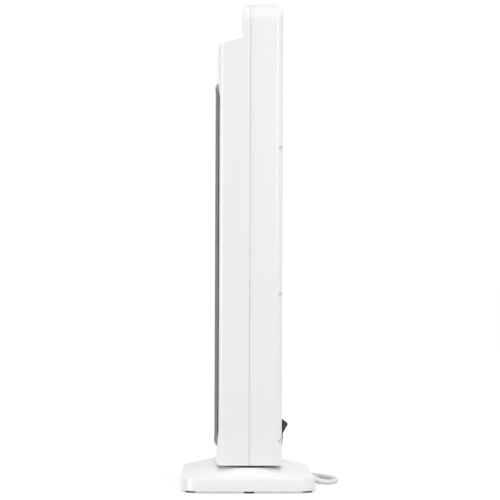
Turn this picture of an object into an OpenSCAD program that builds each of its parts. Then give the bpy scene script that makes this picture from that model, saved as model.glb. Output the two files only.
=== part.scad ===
// Ceramic tower heater: a slim oscillating tower on a wide base, with a crossflow
// blower, ceramic heating elements, a control panel and a mains lead.
// Millimetres. +Z is up, the front faces -Y, the origin is on the ground under the
// middle of the base.

/* [Tower casing] */
// Width of the tower at its corners
tower_w = 170; // [160:1:180]
// Distance of the front corners ahead of the swivel axis
front_y = 40.5; // [38:0.5:42]
// Distance of the rear corners behind the swivel axis
rear_y = 42.5; // [42:0.5:46]
// Height of the lower edge of the casing
tower_z = 34; // [33.5:0.5:35]
// Height of the top of the rear crest
crest_z = 634; // [630:1:640]
// Wall thickness of the casing
wall = 2.5; // [2:0.1:3]
// Crown of the front face across its width
front_bow = 1.5; // [1:0.5:2]
// Crown of the rear face across its width
rear_bow = 2.5; // [2:0.5:3]

/* [Grille] */
// Width of the front grille
grille_w = 156; // [140:1:156]
// Height of the lower end of the grille
grille_z0 = 57; // [55:1:65]
// Height of the upper end of the grille
grille_z1 = 530; // [520:1:535]

/* [Base] */
// Width of the base
base_w = 216; // [210:1:220]
// Depth of the base
base_d = 175; // [174:1:180]
// Radius of the corners of the base
base_r = 28; // [26:1:30]
// Height of the rubber feet
foot_h = 3; // [2.5:0.5:3]
// Height of the flat top of the base
plateau_z = 31; // [30.5:0.5:31]

/* [Oscillation drive] */
// Swing of the tower to each side, in degrees
swing = 35; // [20:1:35]
// Gear module
gear_m = 1.25; // [1.25]
// Teeth in a full circle of the sector gear
sector_teeth = 64; // [64]
// Teeth on the pinion
pinion_teeth = 16; // [16]

/* [Blower and heater] */
// Radius of the crossflow impeller
impeller_r = 24; // [22:1:24]
// Blades round the impeller
blade_n = 24; // [18:1:30]
// Length of the impeller
impeller_l = 350; // [340:5:350]
// Radius of the blower shaft
shaft_r = 2.5; // [2.5]

/* [Controls] */
// Radius of a push button
button_r = 4.5; // [4:0.5:4.5]
// Travel of a push button
button_travel = 1; // [0.8:0.1:1]
// Tilt of the mains rocker to each side, in degrees
rocker_tilt = 16; // [12:1:16]

/* [Mains lead] */
// Diameter of the lead
cord_d = 6.5; // [6.5]
// Radius of the outermost turn of the stored coil, at the middle of the lead
coil_r = 42.5; // [42.5]

/* [Hidden] */
$fn = 64;

half_w = tower_w / 2;
front_r = 12;
rear_r = 10;
side_bow = 0.8;
seam = 0.8;                // gap between the two shells
cut = 500;                 // larger than anything it cuts

// Sloped control deck ahead of the crest
deck_z = 579.5;             // front edge of the deck
bevel_y = 33;              // the bevel ends this far ahead of the axis
bevel_z = 582.3;
crest_y = 7.5;             // foot of the crest, ahead of the axis
deck_back_z = 588.3;
slope = atan((deck_back_z - bevel_z) / (bevel_y - crest_y));
panel_y = -(bevel_y + crest_y) / 2;
panel_z = (bevel_z + deck_back_z) / 2;
panel_w = 144;
panel_d = 18;
button_x = [-60, -45, -30, 30, 45, 60];

// Finger grip in the back of the crest
grip_w = 96;
grip_z0 = 599;
grip_z1 = 622;
grip_depth = 20;

// Mains rocker in the back of the tower
rocker_y = 41;
rocker_z = 71.4;
rocker_w = 20;
rocker_half = 13.6;        // from the middle of the rocker to its tip
rocker_crown = 6.6;        // from the pivot to the middle of the rocker's face
rocker_vee = 13;           // angle of each half of the face
tip_u = rocker_crown + rocker_half * tan(rocker_vee);
rocker_r = sqrt(tip_u * tip_u + rocker_half * rocker_half);

// Screws that hold the shells together, from the rear
screw_z = [65, 255, 445];
screw_x = 80.5;
screw_head_y = 36;

// Blower, heater and motor
axis_y = 8;
impeller_z = 128;
bar_x = [-33, 0, 33];
heater_y = -22;            // back of the heater frame
heater_d = 12;
heater_z0 = 134;
heater_z1 = 476;
motor_z = 503;

// Oscillation drive under the plateau
sector_r = gear_m * sector_teeth / 2;
pinion_r = gear_m * pinion_teeth / 2;
gear_x = sector_r + pinion_r;
hub_r = 20;
gear_z = 17.9;
gear_h = 3.5;

// Mains lead, from the bushing round the rear corner to the coil beside the base
cord_r = cord_d / 2;
core_r = 1.9;              // inner cores, without the outer jacket
coil_x = -166;
coil_y = 4;
coil_z0 = 0.7;
coil_z1 = 20.5;
coil_in = 24.4;
coil_out = coil_r + cord_r + 0.15;
bushing_y = 86.6;
bushing_z = 9.6;
bushing_drop = 25;         // the lead leaves the base this far below the horizontal
bushing_out = 9;
run_points = [
    [0, 94.8, 5.8], [0, 98.5, 4.6], [-0.3, 102, 3.8], [-2, 107, 3.4], [-5, 111.5, 3.3],
    [-9, 115.5, 3.3], [-14, 118.5, 3.3], [-20, 120.5, 3.3], [-27, 121.5, 3.3],
    [-40, 121, 3.3], [-54, 118, 3.3], [-68, 112.5, 3.3], [-81, 104.5, 3.3],
    [-93, 94.5, 3.3], [-103, 83, 3.3], [-111, 70, 3.3], [-117, 55.5, 3.4],
    [-121, 40.5, 3.6], [-123, 25, 3.8], [-123.4, 10, 4]
];
lead_points = [
    [-166, -38.5, 17.2], [-176, -38.5, 17.1], [-186, -38.5, 16.6], [-196, -38.3, 15.4],
    [-205, -37, 13.8], [-213.5, -33.5, 12.2], [-220.5, -28, 11], [-226, -21, 10.3],
    [-229.5, -12.5, 10], [-230.5, -5, 10]
];
plug_x = -230.5;
plug_y = 37;
plug_r = 18.8;
plug_h = 20;

white = [0.93, 0.93, 0.92];
soft_white = [0.88, 0.88, 0.87];
black = [0.07, 0.07, 0.075];
steel = [0.62, 0.63, 0.65];

// ---- Helpers ----

// Points of an arc from a0 to a1 about [cx, cy], with radii rx and ry
function arc(cx, cy, rx, ry, a0, a1, n) =
    [for (i = [0:n]) let (a = a0 + (a1 - a0) * i / n) [cx + rx * cos(a), cy + ry * sin(a)]];

// Points of a crowned edge along X, from x0 to x1, lifted by bow in the middle
function crown(x0, x1, y, bow, n) =
    [for (i = [1:n - 1]) let (x = x0 + (x1 - x0) * i / n) [x, y + bow * (1 - pow(x / x0, 2))]];

// Plan outline of the tower, drawn in by g
function plan(g) = let (xf = half_w - front_r, xr = half_w - rear_r) concat(
    arc(-xf, -front_y + front_r, front_r - g, front_r - g, 180, 270, 8),
    crown(-xf, xf, -front_y + g, -front_bow, 12),
    arc(xf, -front_y + front_r, front_r - g, front_r - g, 270, 360, 8),
    [[half_w + side_bow - g, 0]],
    arc(xr, rear_y - rear_r, rear_r - g, rear_r - g, 0, 90, 8),
    crown(xr, -xr, rear_y - g, rear_bow, 12),
    arc(-xr, rear_y - rear_r, rear_r - g, rear_r - g, 90, 180, 8),
    [[-half_w - side_bow + g, 0]]
);

// Side outline of the tower as [y, z] points, drawn in by g
function side(g) = concat(
    [[-cut, tower_z], [-cut, deck_z - g - 3], [-front_y, deck_z - g]],
    [[-bevel_y, bevel_z - g], [-crest_y - 2 + g, deck_back_z - 0.4 - g]],
    [[-crest_y + g, deck_back_z + 2 - g], [-crest_y + 1 + g, deck_back_z + 14]],
    [[-crest_y + 2.2 + g, crest_z - 8]],
    arc(-crest_y + 5.2 + g, crest_z - 3 - g, 3, 3, 180, 90, 4),
    arc(rear_y + rear_bow - 16, crest_z - 17 - g, 16.2 - g, 16, 85, 0, 8),
    [[cut, crest_z - 17 - g], [cut, tower_z]]
);

// Front outline of the tower, with the rounded shoulders of the crest, drawn in by g
function shoulders(g) = concat(
    [[-cut, tower_z], [-cut, crest_z - 28]],
    arc(-half_w - side_bow + 28, crest_z - 28, 28 - g, 28 - g, 180, 90, 10),
    arc(half_w + side_bow - 28, crest_z - 28, 28 - g, 28 - g, 90, 0, 10),
    [[cut, crest_z - 28], [cut, tower_z]]
);

// Extrudes a [y, z] outline along X, centred
module along_x(w) {
    rotate([90, 0, 90])
        linear_extrude(w, center = true)
            children();
}

// Extrudes an [x, z] outline along Y, from y0 to y1
module along_y(y0, y1) {
    translate([0, y1, 0])
        rotate([90, 0, 0])
            linear_extrude(y1 - y0)
                children();
}

// Solid tower, drawn in by g all round
module tower_solid(g, z0) {
    intersection() {
        translate([0, 0, z0])
            linear_extrude(crest_z)
                polygon(plan(g));
        along_x(tower_w + 40)
            polygon(side(g));
        along_y(-100, 100)
            polygon(shoulders(g));
    }
}

// Hollow tower casing, open below
module casing() {
    difference() {
        tower_solid(0, tower_z);
        tower_solid(wall, tower_z - 1);
    }
}

// Box given by its two corners
module block(a, b) {
    translate(a)
        cube([b[0] - a[0], b[1] - a[1], b[2] - a[2]]);
}

// Upright ring
module ring(r0, r1, z0, z1) {
    translate([0, 0, z0])
        difference() {
            cylinder(r = r1, h = z1 - z0);
            translate([0, 0, -1])
                cylinder(r = r0, h = z1 - z0 + 2);
        }
}

// Places children on the sloped deck, z along its normal
module on_deck() {
    translate([0, panel_y, panel_z])
        rotate([slope, 0, 0])
            children();
}

// Plan of the base, drawn in by g
module base_plan(g) {
    polygon(concat(
        arc(base_w / 2 - base_r, base_d / 2 - base_r, base_r - g, base_r - g, 0, 90, 8),
        arc(-base_w / 2 + base_r, base_d / 2 - base_r, base_r - g, base_r - g, 90, 180, 8),
        arc(-base_w / 2 + base_r, -base_d / 2 + base_r, base_r - g, base_r - g, 180, 270, 8),
        arc(base_w / 2 - base_r, -base_d / 2 + base_r, base_r - g, base_r - g, 270, 360, 8)
    ));
}

// Hipped body of the base, drawn in by g
module base_solid(g) {
    hull() {
        translate([0, 0, foot_h - (g > 0 ? 1 : 0)])
            linear_extrude(0.1)
                base_plan(g);
        translate([0, 0, 19 - g])
            linear_extrude(0.1)
                base_plan(2.6 + g);
        translate([0, 0, plateau_z - 0.1 - g])
            linear_extrude(0.1)
                scale([(86 - g / 2) / 86, (51 - g / 2) / 51])
                    polygon(arc(0, 0, 90, 55, 0, 360, 48));
    }
}

// Half width of a gear tooth in degrees at radius r
function involute(a) = tan(a) * 180 / PI - a;
function tooth_half(teeth, r, play) = let (rp = gear_m * teeth / 2, rb = rp * cos(20))
    90 / teeth - play / (2 * rp) * 180 / PI + involute(20)
    - (r > rb ? involute(acos(rb / r)) : 0);

// Outline of one tooth pointing along angle a
function tooth(teeth, a, play) = let (
    rp = gear_m * teeth / 2,
    rb = rp * cos(20),
    root = rp - 1.2 * gear_m,
    low = max(rb, root),
    top = rp + 0.9 * gear_m,
    radii = [for (i = [0:4]) low + (top - low) * i / 4]
) concat(
    [[root * cos(a - tooth_half(teeth, low, play)), root * sin(a - tooth_half(teeth, low, play))]],
    [for (r = radii) let (t = a - tooth_half(teeth, r, play)) [r * cos(t), r * sin(t)]],
    [for (i = [4:-1:0]) let (r = radii[i], t = a + tooth_half(teeth, r, play)) [r * cos(t), r * sin(t)]],
    [[root * cos(a + tooth_half(teeth, low, play)), root * sin(a + tooth_half(teeth, low, play))]]
);

// Unit vector from a to b
function unit(v) = v / norm(v);
function heading(p, i) = unit(p[min(i + 1, len(p) - 1)] - p[max(i - 1, 0)]);

// Ring of points of a tube, square to its path
function tube_ring(p, i, r, n) = let (
    d = heading(p, i),
    side = unit(cross(d, abs(d[2]) > 0.9 ? [0, 1, 0] : [0, 0, 1])),
    up = cross(side, d)
) [for (k = [0:n - 1]) let (a = 360 * (k + 0.5) / n) p[i] + r * (cos(a) * side + sin(a) * up)];

// Tube of radius r swept through the points p
module tube(p, r, n) {
    polyhedron(
        points = [for (i = [0:len(p) - 1]) each tube_ring(p, i, r, n)],
        faces = concat(
            [[for (k = [0:n - 1]) k]],
            [for (i = [0:len(p) - 2]) for (k = [0:n - 1])
                [i * n + k, (i + 1) * n + k, (i + 1) * n + (k + 1) % n, i * n + (k + 1) % n]],
            [[for (k = [n - 1:-1:0]) (len(p) - 1) * n + k]]
        )
    );
}

// ---- Base ----

base_screw_at = [[-70, -60], [70, -60], [-70, 60], [70, 60]];
foot_at = [[-87, -75], [87, -75], [-87, 75], [87, 75], [-98, 0], [98, 0]];
tip_at = [-28, -52];

module base_cover() {
    color(white)
        difference() {
            union() {
                difference() {
                    base_solid(0);
                    base_solid(2.6);
                }
                translate([0, 0, plateau_z - 5.6])
                    cylinder(r = 27, h = 4);
                intersection() {
                    base_solid(1);
                    for (p = base_screw_at)
                        translate([p[0], p[1], 5.6])
                            cylinder(r = 4, h = 30);
                }
            }
            translate([0, 0, 15])
                cylinder(r = hub_r + 0.05, h = 20);
            ring(21, 34.5, plateau_z - 1.2, plateau_z + 3);
            for (p = base_screw_at)
                translate([p[0], p[1], 4])
                    cylinder(r = 1.3, h = 12);
            translate([0, bushing_y, bushing_z])
                rotate([90 - bushing_drop, 0, 0])
                    cylinder(r = 4.7, h = 14, center = true);
        }
}

module base_plate() {
    color(soft_white)
        difference() {
            translate([0, 0, foot_h])
                linear_extrude(2.5)
                    base_plan(3.4);
            for (p = base_screw_at)
                translate([p[0], p[1], 0])
                    cylinder(r = 1.7, h = 10);
            for (p = foot_at)
                translate([p[0], p[1], 0])
                    cylinder(r = 2.6, h = 10);
            translate([tip_at[0], tip_at[1], 0])
                cylinder(r = 5.4, h = 10);
        }
}

module feet() {
    color([0.25, 0.25, 0.26])
        for (p = foot_at)
            translate([p[0], p[1], 0]) {
                cylinder(r = 7, h = foot_h);
                cylinder(r = 2.55, h = foot_h + 3.5);
            }
}

module base_weight() {
    color(steel)
        difference() {
            block([-86, -40, 5.6], [-42, 40, 13.6]);
            for (y = [-30, 30])
                translate([-64, y, 0])
                    cylinder(r = 2.2, h = 20);
        }
}

module base_screws() {
    color(steel)
        for (p = base_screw_at)
            translate([p[0], p[1], 0]) {
                translate([0, 0, 1.4])
                    cylinder(r = 3, h = foot_h - 1.4);
                cylinder(r = 1.28, h = 13);
            }
}

module oscillation_motor() {
    color([0.75, 0.75, 0.72])
        translate([gear_x, 0, 5.6])
            union() {
                cylinder(r = 21, h = 11);
                block([-29, -4, 0], [29, 4, 1]);
                translate([0, 0, 10])
                    cylinder(r = 5, h = 1.9);
                block([14, -7, 0], [26, 7, 8]);
            }
}

module oscillation_pinion() {
    color([0.9, 0.86, 0.7])
        translate([gear_x, 0, 17.7])
            linear_extrude(4.1)
                union() {
                    circle(r = pinion_r - 1.2 * gear_m + 0.02);
                    for (k = [0:pinion_teeth - 1])
                        polygon(concat([[0, 0]], tooth(pinion_teeth, (k + 0.5) * 360 / pinion_teeth, 0.3)));
                }
}

module tip_switch() {
    color([0.15, 0.15, 0.17])
        translate([tip_at[0], tip_at[1], 0])
            difference() {
                block([-7, -9, 5.6], [7, 16, 17]);
                translate([0, 0, 5])
                    cylinder(r = 5.4, h = 9);
            }
}

module tip_plunger() {
    color([0.8, 0.2, 0.15])
        translate([tip_at[0], tip_at[1], 0]) {
            cylinder(r = 5, h = 11);
        }
}

module swivel_ring() {
    color([0.85, 0.85, 0.8])
        ring(21.2, 34.3, plateau_z - 1.2, tower_z - 0.1);
}

module cord_clamp() {
    color(soft_white)
        difference() {
            block([-12, 60, 5.6], [12, 68, 14.5]);
            translate([0, 64, 9.6])
                rotate([90, 0, 0])
                    cylinder(r = core_r + 0.05, h = 20, center = true);
        }
}

inner_base_points = [
    [0, 80.2, 12.5], [0, 76, 11], [0, 71, 9.8], [0, 66, 9.6], [0, 60, 9.6], [0, 52, 8.9], [0, 44, 7.8], [0, 36, 7.5],
    [0, 28, 7.5], [0, 20, 7.5], [0, 11, 7.6], [0, 5, 8.2]
];
inner_tower_points = [
    [0, 0, 14.5], [0, 0, 22], [0, 0, 30], [0, 0.5, 38], [0, 2.5, 46], [0, 6, 53], [0, 9, 58.5]
];

module inner_lead_base() {
    color(soft_white)
        tube(inner_base_points, core_r, 8);
}

module inner_lead_tower() {
    color(soft_white)
        tube(inner_tower_points, core_r, 8);
}

module cord_bushing() {
    color(white)
        translate([0, bushing_y, bushing_z])
            rotate([90 - bushing_drop, 0, 0])
                translate([0, 0, -bushing_out])
                    union() {
                        cylinder(r1 = 3.9, r2 = 4.6, h = bushing_out);
                        translate([0, 0, bushing_out])
                            cylinder(r = 4.6, h = 7);
                    }
}

module cord_run() {
    color(white)
        tube(run_points, cord_r, 8);
}

module cord_coil() {
    color(white)
        translate([coil_x, coil_y, 0])
            ring(coil_in, coil_out, coil_z0, coil_z1);
}

module cord_lead() {
    color(white)
        tube(lead_points, cord_r, 8);
}

module cord_tie() {
    color([0.1, 0.1, 0.1])
        translate([coil_x, coil_y, 0])
            rotate([0, 0, 45])
                difference() {
                    block([coil_in - 1.1, -3, 0], [coil_out + 0.8, 3, coil_z1 + 0.7]);
                    block([coil_in - 0.4, -4, 0.65], [coil_out + 0.1, 4, coil_z1 + 0.1]);
                }
}

module plug_body() {
    color(white)
        translate([plug_x, plug_y, 0])
            difference() {
                union() {
                    cylinder(r = plug_r, h = plug_h);
                    translate([0, -plug_r + 4, 10])
                        rotate([90, 0, 0])
                            cylinder(r1 = 8, r2 = 4.2, h = 27);
                }
                for (s = [-1, 1])
                    translate([s * (plug_r + 2), 0, 5])
                        cylinder(r = 5, h = 20);
            }
}

module plug_pins() {
    color(steel)
        translate([plug_x, plug_y, plug_h])
            for (s = [-1, 1])
                translate([0, s * 9.5, 0]) {
                    cylinder(r = 2.4, h = 17.5);
                    translate([0, 0, 17.5])
                        cylinder(r1 = 2.4, r2 = 1.4, h = 1.5);
                }
}

// ---- Tower casing ----

// Front view of the grille opening, drawn in by g
module grille_outline(g) {
    rx = 34;
    rz = 19;
    x = grille_w / 2 - rx;
    polygon(concat(
        arc(x, grille_z1 - rz, rx - g, rz - g, 0, 90, 8),
        arc(-x, grille_z1 - rz, rx - g, rz - g, 90, 180, 8),
        arc(-x, grille_z0 + rz + 3, rx - g, rz + 3 - g, 180, 270, 8),
        arc(x, grille_z0 + rz + 3, rx - g, rz + 3 - g, 270, 360, 8)
    ));
}

// Bowed slab that follows the front of the tower, from depth y0 to y1 behind its face
module front_slab(y0, y1, bow) {
    x = grille_w / 2 + 1;
    linear_extrude(cut * 1.2)
        polygon(concat(
            [[-x, -front_y + y0]], crown(-x, x, -front_y + y0, -bow, 8), [[x, -front_y + y0]],
            [[x, -front_y + y1]], crown(x, -x, -front_y + y1, -bow, 8), [[-x, -front_y + y1]]
        ));
}

module front_shell() {
    color(white)
        difference() {
            union() {
                intersection() {
                    casing();
                    block([-cut, -cut, 0], [cut, -seam / 2, 2 * cut]);
                }
                on_deck()
                    for (s = [-1, 1])
                        translate([s * 69, 0, -10.6])
                            cylinder(r = 2.6, h = 9);
                for (s = [-1, 1], z = screw_z)
                    translate([s * screw_x, 0, z])
                        rotate([90, 0, 0])
                            translate([0, 0, seam / 2])
                                cylinder(r = 4, h = 29);
            }
            along_y(-100, -30)
                grille_outline(-0.3);
            on_deck()
                block([-panel_w / 2 - 0.2, -panel_d / 2 - 0.2, -1.7], [panel_w / 2 + 0.2, panel_d / 2 + 0.2, 5]);
            on_deck()
                block([-66, -6, -8], [66, 6, 5]);
            for (s = [-1, 1], z = screw_z)
                translate([s * screw_x, 0, z])
                    rotate([90, 0, 0])
                        cylinder(r = 1.35, h = 24);
        }
}

module rear_shell() {
    color(white)
        difference() {
            union() {
                intersection() {
                    casing();
                    block([-cut, seam / 2, 0], [cut, cut, 2 * cut]);
                }
                for (s = [-1, 1], z = screw_z)
                    intersection() {
                        translate([s * screw_x, screw_head_y + 6, z])
                            rotate([90, 0, 0])
                                cylinder(r = 5.6, h = screw_head_y + 6 - seam / 2);
                        tower_solid(0.6, tower_z);
                    }
            }
            block([-grip_w / 2, 20, grip_z0], [grip_w / 2, 60, grip_z1]);
            for (x = [-49:7:49], k = [0:3])
                block([x - 1.6, 30, 122 + 96 * k], [x + 1.6, 60, 210 + 96 * k]);
            block([-12.7, 30, rocker_z - 17.4], [12.7, 60, rocker_z + 17.4]);
            block([-14.2, 44.15, rocker_z - 19.1], [14.2, 60, rocker_z + 19.1]);
            for (s = [-1, 1], z = screw_z)
                translate([s * screw_x, 0, z])
                    rotate([-90, 0, 0]) {
                        translate([0, 0, -1])
                            cylinder(r = 1.8, h = 60);
                        translate([0, 0, screw_head_y - 3])
                            cylinder(r = 3.5, h = 30);
                    }
        }
}

module grip_insert() {
    color(black)
        difference() {
            block([-grip_w / 2 + 0.2, 22, grip_z0 + 0.2], [grip_w / 2 - 0.2, 45.3, grip_z1 - 0.2]);
            block([-grip_w / 2 + 2, 24, grip_z0 + 2], [grip_w / 2 - 2, 60, grip_z1 - 2.2]);
        }
}

module front_grille() {
    color(black)
        difference() {
            intersection() {
                front_slab(-0.6, 2, 3);
                along_y(-100, 0)
                    grille_outline(0);
            }
            for (k = [0:21], s = [-1, 1])
                block([s * 32 - 29, -100, 90 + 19 * k], [s * 32 + 29, 0, 102 + 19 * k]);
        }
}

module intake_filter() {
    color([0.2, 0.2, 0.21])
        difference() {
            block([-56, 38, 116], [56, 39.6, 508]);
            for (k = [0:9], s = [-1, 0, 1])
                block([s * 35 - 16, 30, 121 + 38.5 * k], [s * 35 + 16, 60, 155 + 38.5 * k]);
        }
}

module turntable() {
    color(soft_white)
        difference() {
            union() {
                intersection() {
                    translate([0, 0, tower_z])
                        linear_extrude(3)
                            polygon(plan(wall + 0.3));
                    block([-cut, -cut, 0], [cut, cut, cut]);
                }
                translate([0, 0, 14])
                    cylinder(r = hub_r, h = tower_z - 14 + 1);
            }
            translate([0, 0, 10])
                cylinder(r = 14, h = 40);
            for (a = [90, 210, 330])
                rotate([0, 0, a])
                    translate([17, 0, 13])
                        cylinder(r = 1.2, h = 12);
        }
}

module turntable_screws() {
    color(steel)
        for (a = [90, 210, 330])
            rotate([0, 0, a])
                translate([17, 0, 9.8]) {
                    cylinder(r = 2.4, h = 1.7);
                    cylinder(r = 1.18, h = 13);
                }
}

module swivel_retainer() {
    color(steel)
        difference() {
            translate([0, 0, 11.5])
                cylinder(r = 25, h = 2.5);
            translate([0, 0, 10])
                cylinder(r = 8, h = 6);
            for (a = [90, 210, 330])
                rotate([0, 0, a])
                    translate([17, 0, 10])
                        cylinder(r = 1.5, h = 6);
        }
}

module sector_gear() {
    teeth_each_side = 10;
    pitch = 360 / sector_teeth;
    root = sector_r - 1.2 * gear_m;
    span = (teeth_each_side + 0.5) * pitch;
    color([0.9, 0.86, 0.7])
        difference() {
            union() {
                translate([0, 0, gear_z])
                    linear_extrude(gear_h)
                        union() {
                            circle(r = 25);
                            polygon(concat([[0, 0]], arc(0, 0, root + 0.02, root + 0.02, -span, span, 24)));
                            for (k = [-teeth_each_side:teeth_each_side])
                                polygon(concat([15 * [cos(k * pitch), sin(k * pitch)]],
                                               tooth(sector_teeth, k * pitch, 0.3)));
                        }
                translate([0, 0, 14.1])
                    cylinder(r = 25, h = 4);
            }
            translate([0, 0, 10])
                cylinder(r = hub_r + 0.02, h = 20);
        }
}

module case_screws() {
    color(steel)
        for (s = [-1, 1], z = screw_z)
            translate([s * screw_x, 0, z])
                rotate([-90, 0, 0]) {
                    translate([0, 0, screw_head_y - 3])
                        cylinder(r = 3.2, h = 2.4);
                    translate([0, 0, -18])
                        cylinder(r = 1.32, h = screw_head_y + 15);
                }
}

// ---- Controls ----

module control_panel() {
    color(black)
        on_deck()
            difference() {
                block([-panel_w / 2, -panel_d / 2, -1.65], [panel_w / 2, panel_d / 2, -0.15]);
                for (x = button_x)
                    translate([x, 0, -5])
                        cylinder(r = button_r + 0.25, h = 10);
                block([-17, -6, -5], [17, 6, 5]);
            }
}

module display_window() {
    color([0.05, 0.05, 0.06, 0.6])
        on_deck()
            block([-16.8, -5.8, -1.6], [16.8, 5.8, -0.25]);
}

module button(x) {
    color([0.85, 0.85, 0.86])
        on_deck()
            translate([x, 0, 0]) {
                translate([0, 0, -3])
                    cylinder(r = button_r, h = 3.4);
                translate([0, 0, -3.2])
                    cylinder(r = button_r + 0.9, h = 1.2);
                translate([0, 0, -5.9])
                    cylinder(r = 1.5, h = 3);
            }
}

module button_1() { button(button_x[0]); }
module button_2() { button(button_x[1]); }
module button_3() { button(button_x[2]); }
module button_4() { button(button_x[3]); }
module button_5() { button(button_x[4]); }
module button_6() { button(button_x[5]); }

module control_board() {
    color([0.1, 0.35, 0.2])
        on_deck()
            block([-74, -8, -12.2], [74, 8, -10.6]);
}

module tact_switches() {
    color([0.2, 0.2, 0.22])
        on_deck()
            for (x = button_x)
                translate([x, 0, -10.6]) {
                    block([-3, -3, 0], [3, 3, 2.4]);
                    cylinder(r = 1.7, h = 3.6);
                }
}

module display_module() {
    color([0.12, 0.12, 0.13])
        on_deck()
            block([-15, -5, -10.6], [15, 5, -3]);
}

module power_board() {
    color([0.1, 0.35, 0.2])
        block([-62, -28, 38], [62, -26.4, 112]);
}

module power_components() {
    color([0.25, 0.4, 0.6])
        for (p = [[-50, 46, 20, 22, 15], [-24, 46, 20, 22, 15], [4, 44, 26, 14, 18], [36, 46, 16, 26, 12],
                  [-50, 82, 14, 14, 12], [-20, 84, 30, 18, 16], [20, 84, 12, 12, 20], [42, 84, 10, 20, 10]])
            translate([p[0], -26.4, p[1]])
                cube([p[2], p[4], p[3]]);
}

module rocker_housing() {
    color(black)
        difference() {
            union() {
                block([-14, 44.2, rocker_z - 18.9], [14, 46.2, rocker_z + 18.9]);
                block([-12.5, 20, rocker_z - 17.2], [12.5, 45, rocker_z + 17.2]);
                for (z = [-10, 0, 10])
                    block([-3, 12, rocker_z + z - 0.4], [3, 21, rocker_z + z + 0.4]);
            }
            translate([0, rocker_y, rocker_z])
                rotate([0, 90, 0])
                    cylinder(r = 16.95, h = 2 * (rocker_w / 2 + 0.3), center = true);
            block([-rocker_w / 2 - 0.3, rocker_y, rocker_z - 16.95], [rocker_w / 2 + 0.3, 60, rocker_z + 16.95]);
            translate([0, rocker_y, rocker_z])
                rotate([0, 90, 0])
                    cylinder(r = 1.55, h = 23.4, center = true);
        }
}

module rocker() {
    tip = atan2(rocker_half, tip_u);
    color(black)
        translate([0, rocker_y, rocker_z])
            rotate([-rocker_tilt, 0, 0])
                union() {
                    along_x(rocker_w)
                        polygon(concat(
                            [[rocker_crown, 0]],
                            arc(0, 0, rocker_r, rocker_r, tip, 84, 6),
                            [[-3, 5], [-3, -5]],
                            arc(0, 0, rocker_r, rocker_r, -84, -tip, 6)
                        ));
                    rotate([0, 90, 0])
                        cylinder(r = 1.5, h = 23, center = true);
                }
}

// ---- Blower and heater ----

module impeller() {
    blade_in = impeller_r - 6.4;
    color([0.12, 0.12, 0.13])
        translate([0, axis_y, impeller_z])
            difference() {
                union() {
                    for (k = [0:4])
                        translate([0, 0, k * (impeller_l - 1.5) / 4])
                            cylinder(r = impeller_r, h = 1.5);
                    for (z = [0, impeller_l - 8])
                        translate([0, 0, z])
                            cylinder(r = 6, h = 8);
                    linear_extrude(impeller_l)
                        for (k = [0:blade_n - 1])
                            rotate([0, 0, k * 360 / blade_n])
                                polygon([[blade_in, -2.2], [blade_in + 3, -1], [impeller_r - 0.3, 1.1],
                                         [impeller_r - 0.7, 1.9], [blade_in + 2.7, -0.1],
                                         [blade_in - 0.3, -1.3]]);
                }
                translate([0, 0, -1])
                    cylinder(r = shaft_r + 0.02, h = impeller_l + 2);
            }
}

module blower_shaft() {
    color(steel)
        translate([0, axis_y, 114])
            cylinder(r = shaft_r, h = 424);
}

module motor_rotor() {
    color([0.55, 0.56, 0.58])
        translate([0, axis_y, 0])
            ring(shaft_r + 0.02, 12.8, motor_z - 1, motor_z + 21);
}

module motor_stator() {
    color([0.45, 0.46, 0.48])
        translate([0, axis_y, motor_z])
            difference() {
                union() {
                    block([-24, -21, 0], [52, 21, 20]);
                }
                translate([0, 0, -1])
                    cylinder(r = 13.3, h = 30);
                block([25, -11, -1], [43, 11, 30]);
            }
}

module motor_coil() {
    color([0.7, 0.4, 0.2])
        translate([0, axis_y, motor_z])
            difference() {
                block([38, -10.5, -3.3], [57, 10.5, 23.3]);
                block([42.8, -20, -0.2], [52.2, 20, 20.2]);
            }
}

module motor_bracket() {
    color(steel)
        translate([0, axis_y, 0])
            difference() {
                union() {
                    block([-22, -6, motor_z + 25], [22, 6, motor_z + 27]);
                    for (s = [-1, 1])
                        translate([s * 19, 0, motor_z + 20])
                            cylinder(r = 3, h = 6);
                    for (s = [-1, 1])
                        translate([s * 19, 0, motor_z - 3.5])
                            cylinder(r = 3, h = 3.5);
                    translate([0, 0, motor_z + 23])
                        cylinder(r = 5.5, h = 8);
                }
                translate([0, 0, motor_z + 15])
                    cylinder(r = shaft_r + 0.05, h = 30);
            }
}

module lower_bearing() {
    color([0.75, 0.6, 0.35])
        translate([0, axis_y, 0])
            ring(shaft_r + 0.05, 6, 116, 123);
}

// Plan of the spiral wall of the air duct
module volute() {
    polygon(concat(
        [for (a = [130:12:214]) let (r = 28.3 + (a - 130) * 0.12) [r * cos(a), axis_y + r * sin(a)]],
        [[-57, heater_y + 2.2], [-57, heater_y + 0.5], [-30.5, heater_y + 6.5]],
        [for (a = [214:-12:130]) let (r = 26.5 + (a - 130) * 0.12) [r * cos(a), axis_y + r * sin(a)]]
    ));
}

// Plan of the tongue on the other side of the impeller
module tongue() {
    polygon([[57, heater_y + 0.5], [57, heater_y + 2.2], [36, -8], [29, 2], [27, 1], [34, -9.5]]);
}

module air_duct() {
    plate_z = [123, 497.5];
    color([0.3, 0.3, 0.31])
        difference() {
            union() {
                translate([0, 0, plate_z[0] + 1])
                    linear_extrude(plate_z[1] - plate_z[0])
                        volute();
                translate([0, 0, plate_z[0] + 1])
                    linear_extrude(plate_z[1] - plate_z[0])
                        tongue();
                for (z = plate_z)
                    block([-60, heater_y + 0.2, z], [60, 37.6, z + 2]);
                translate([0, axis_y, 114.5])
                    cylinder(r = 9, h = 9);
            }
            translate([0, axis_y, 115.9])
                cylinder(r = 6.02, h = 8);
            translate([0, axis_y, 100])
                cylinder(r = 4, h = 60);
            translate([0, axis_y, 490])
                cylinder(r = 4, h = 20);
        }
}

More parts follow.
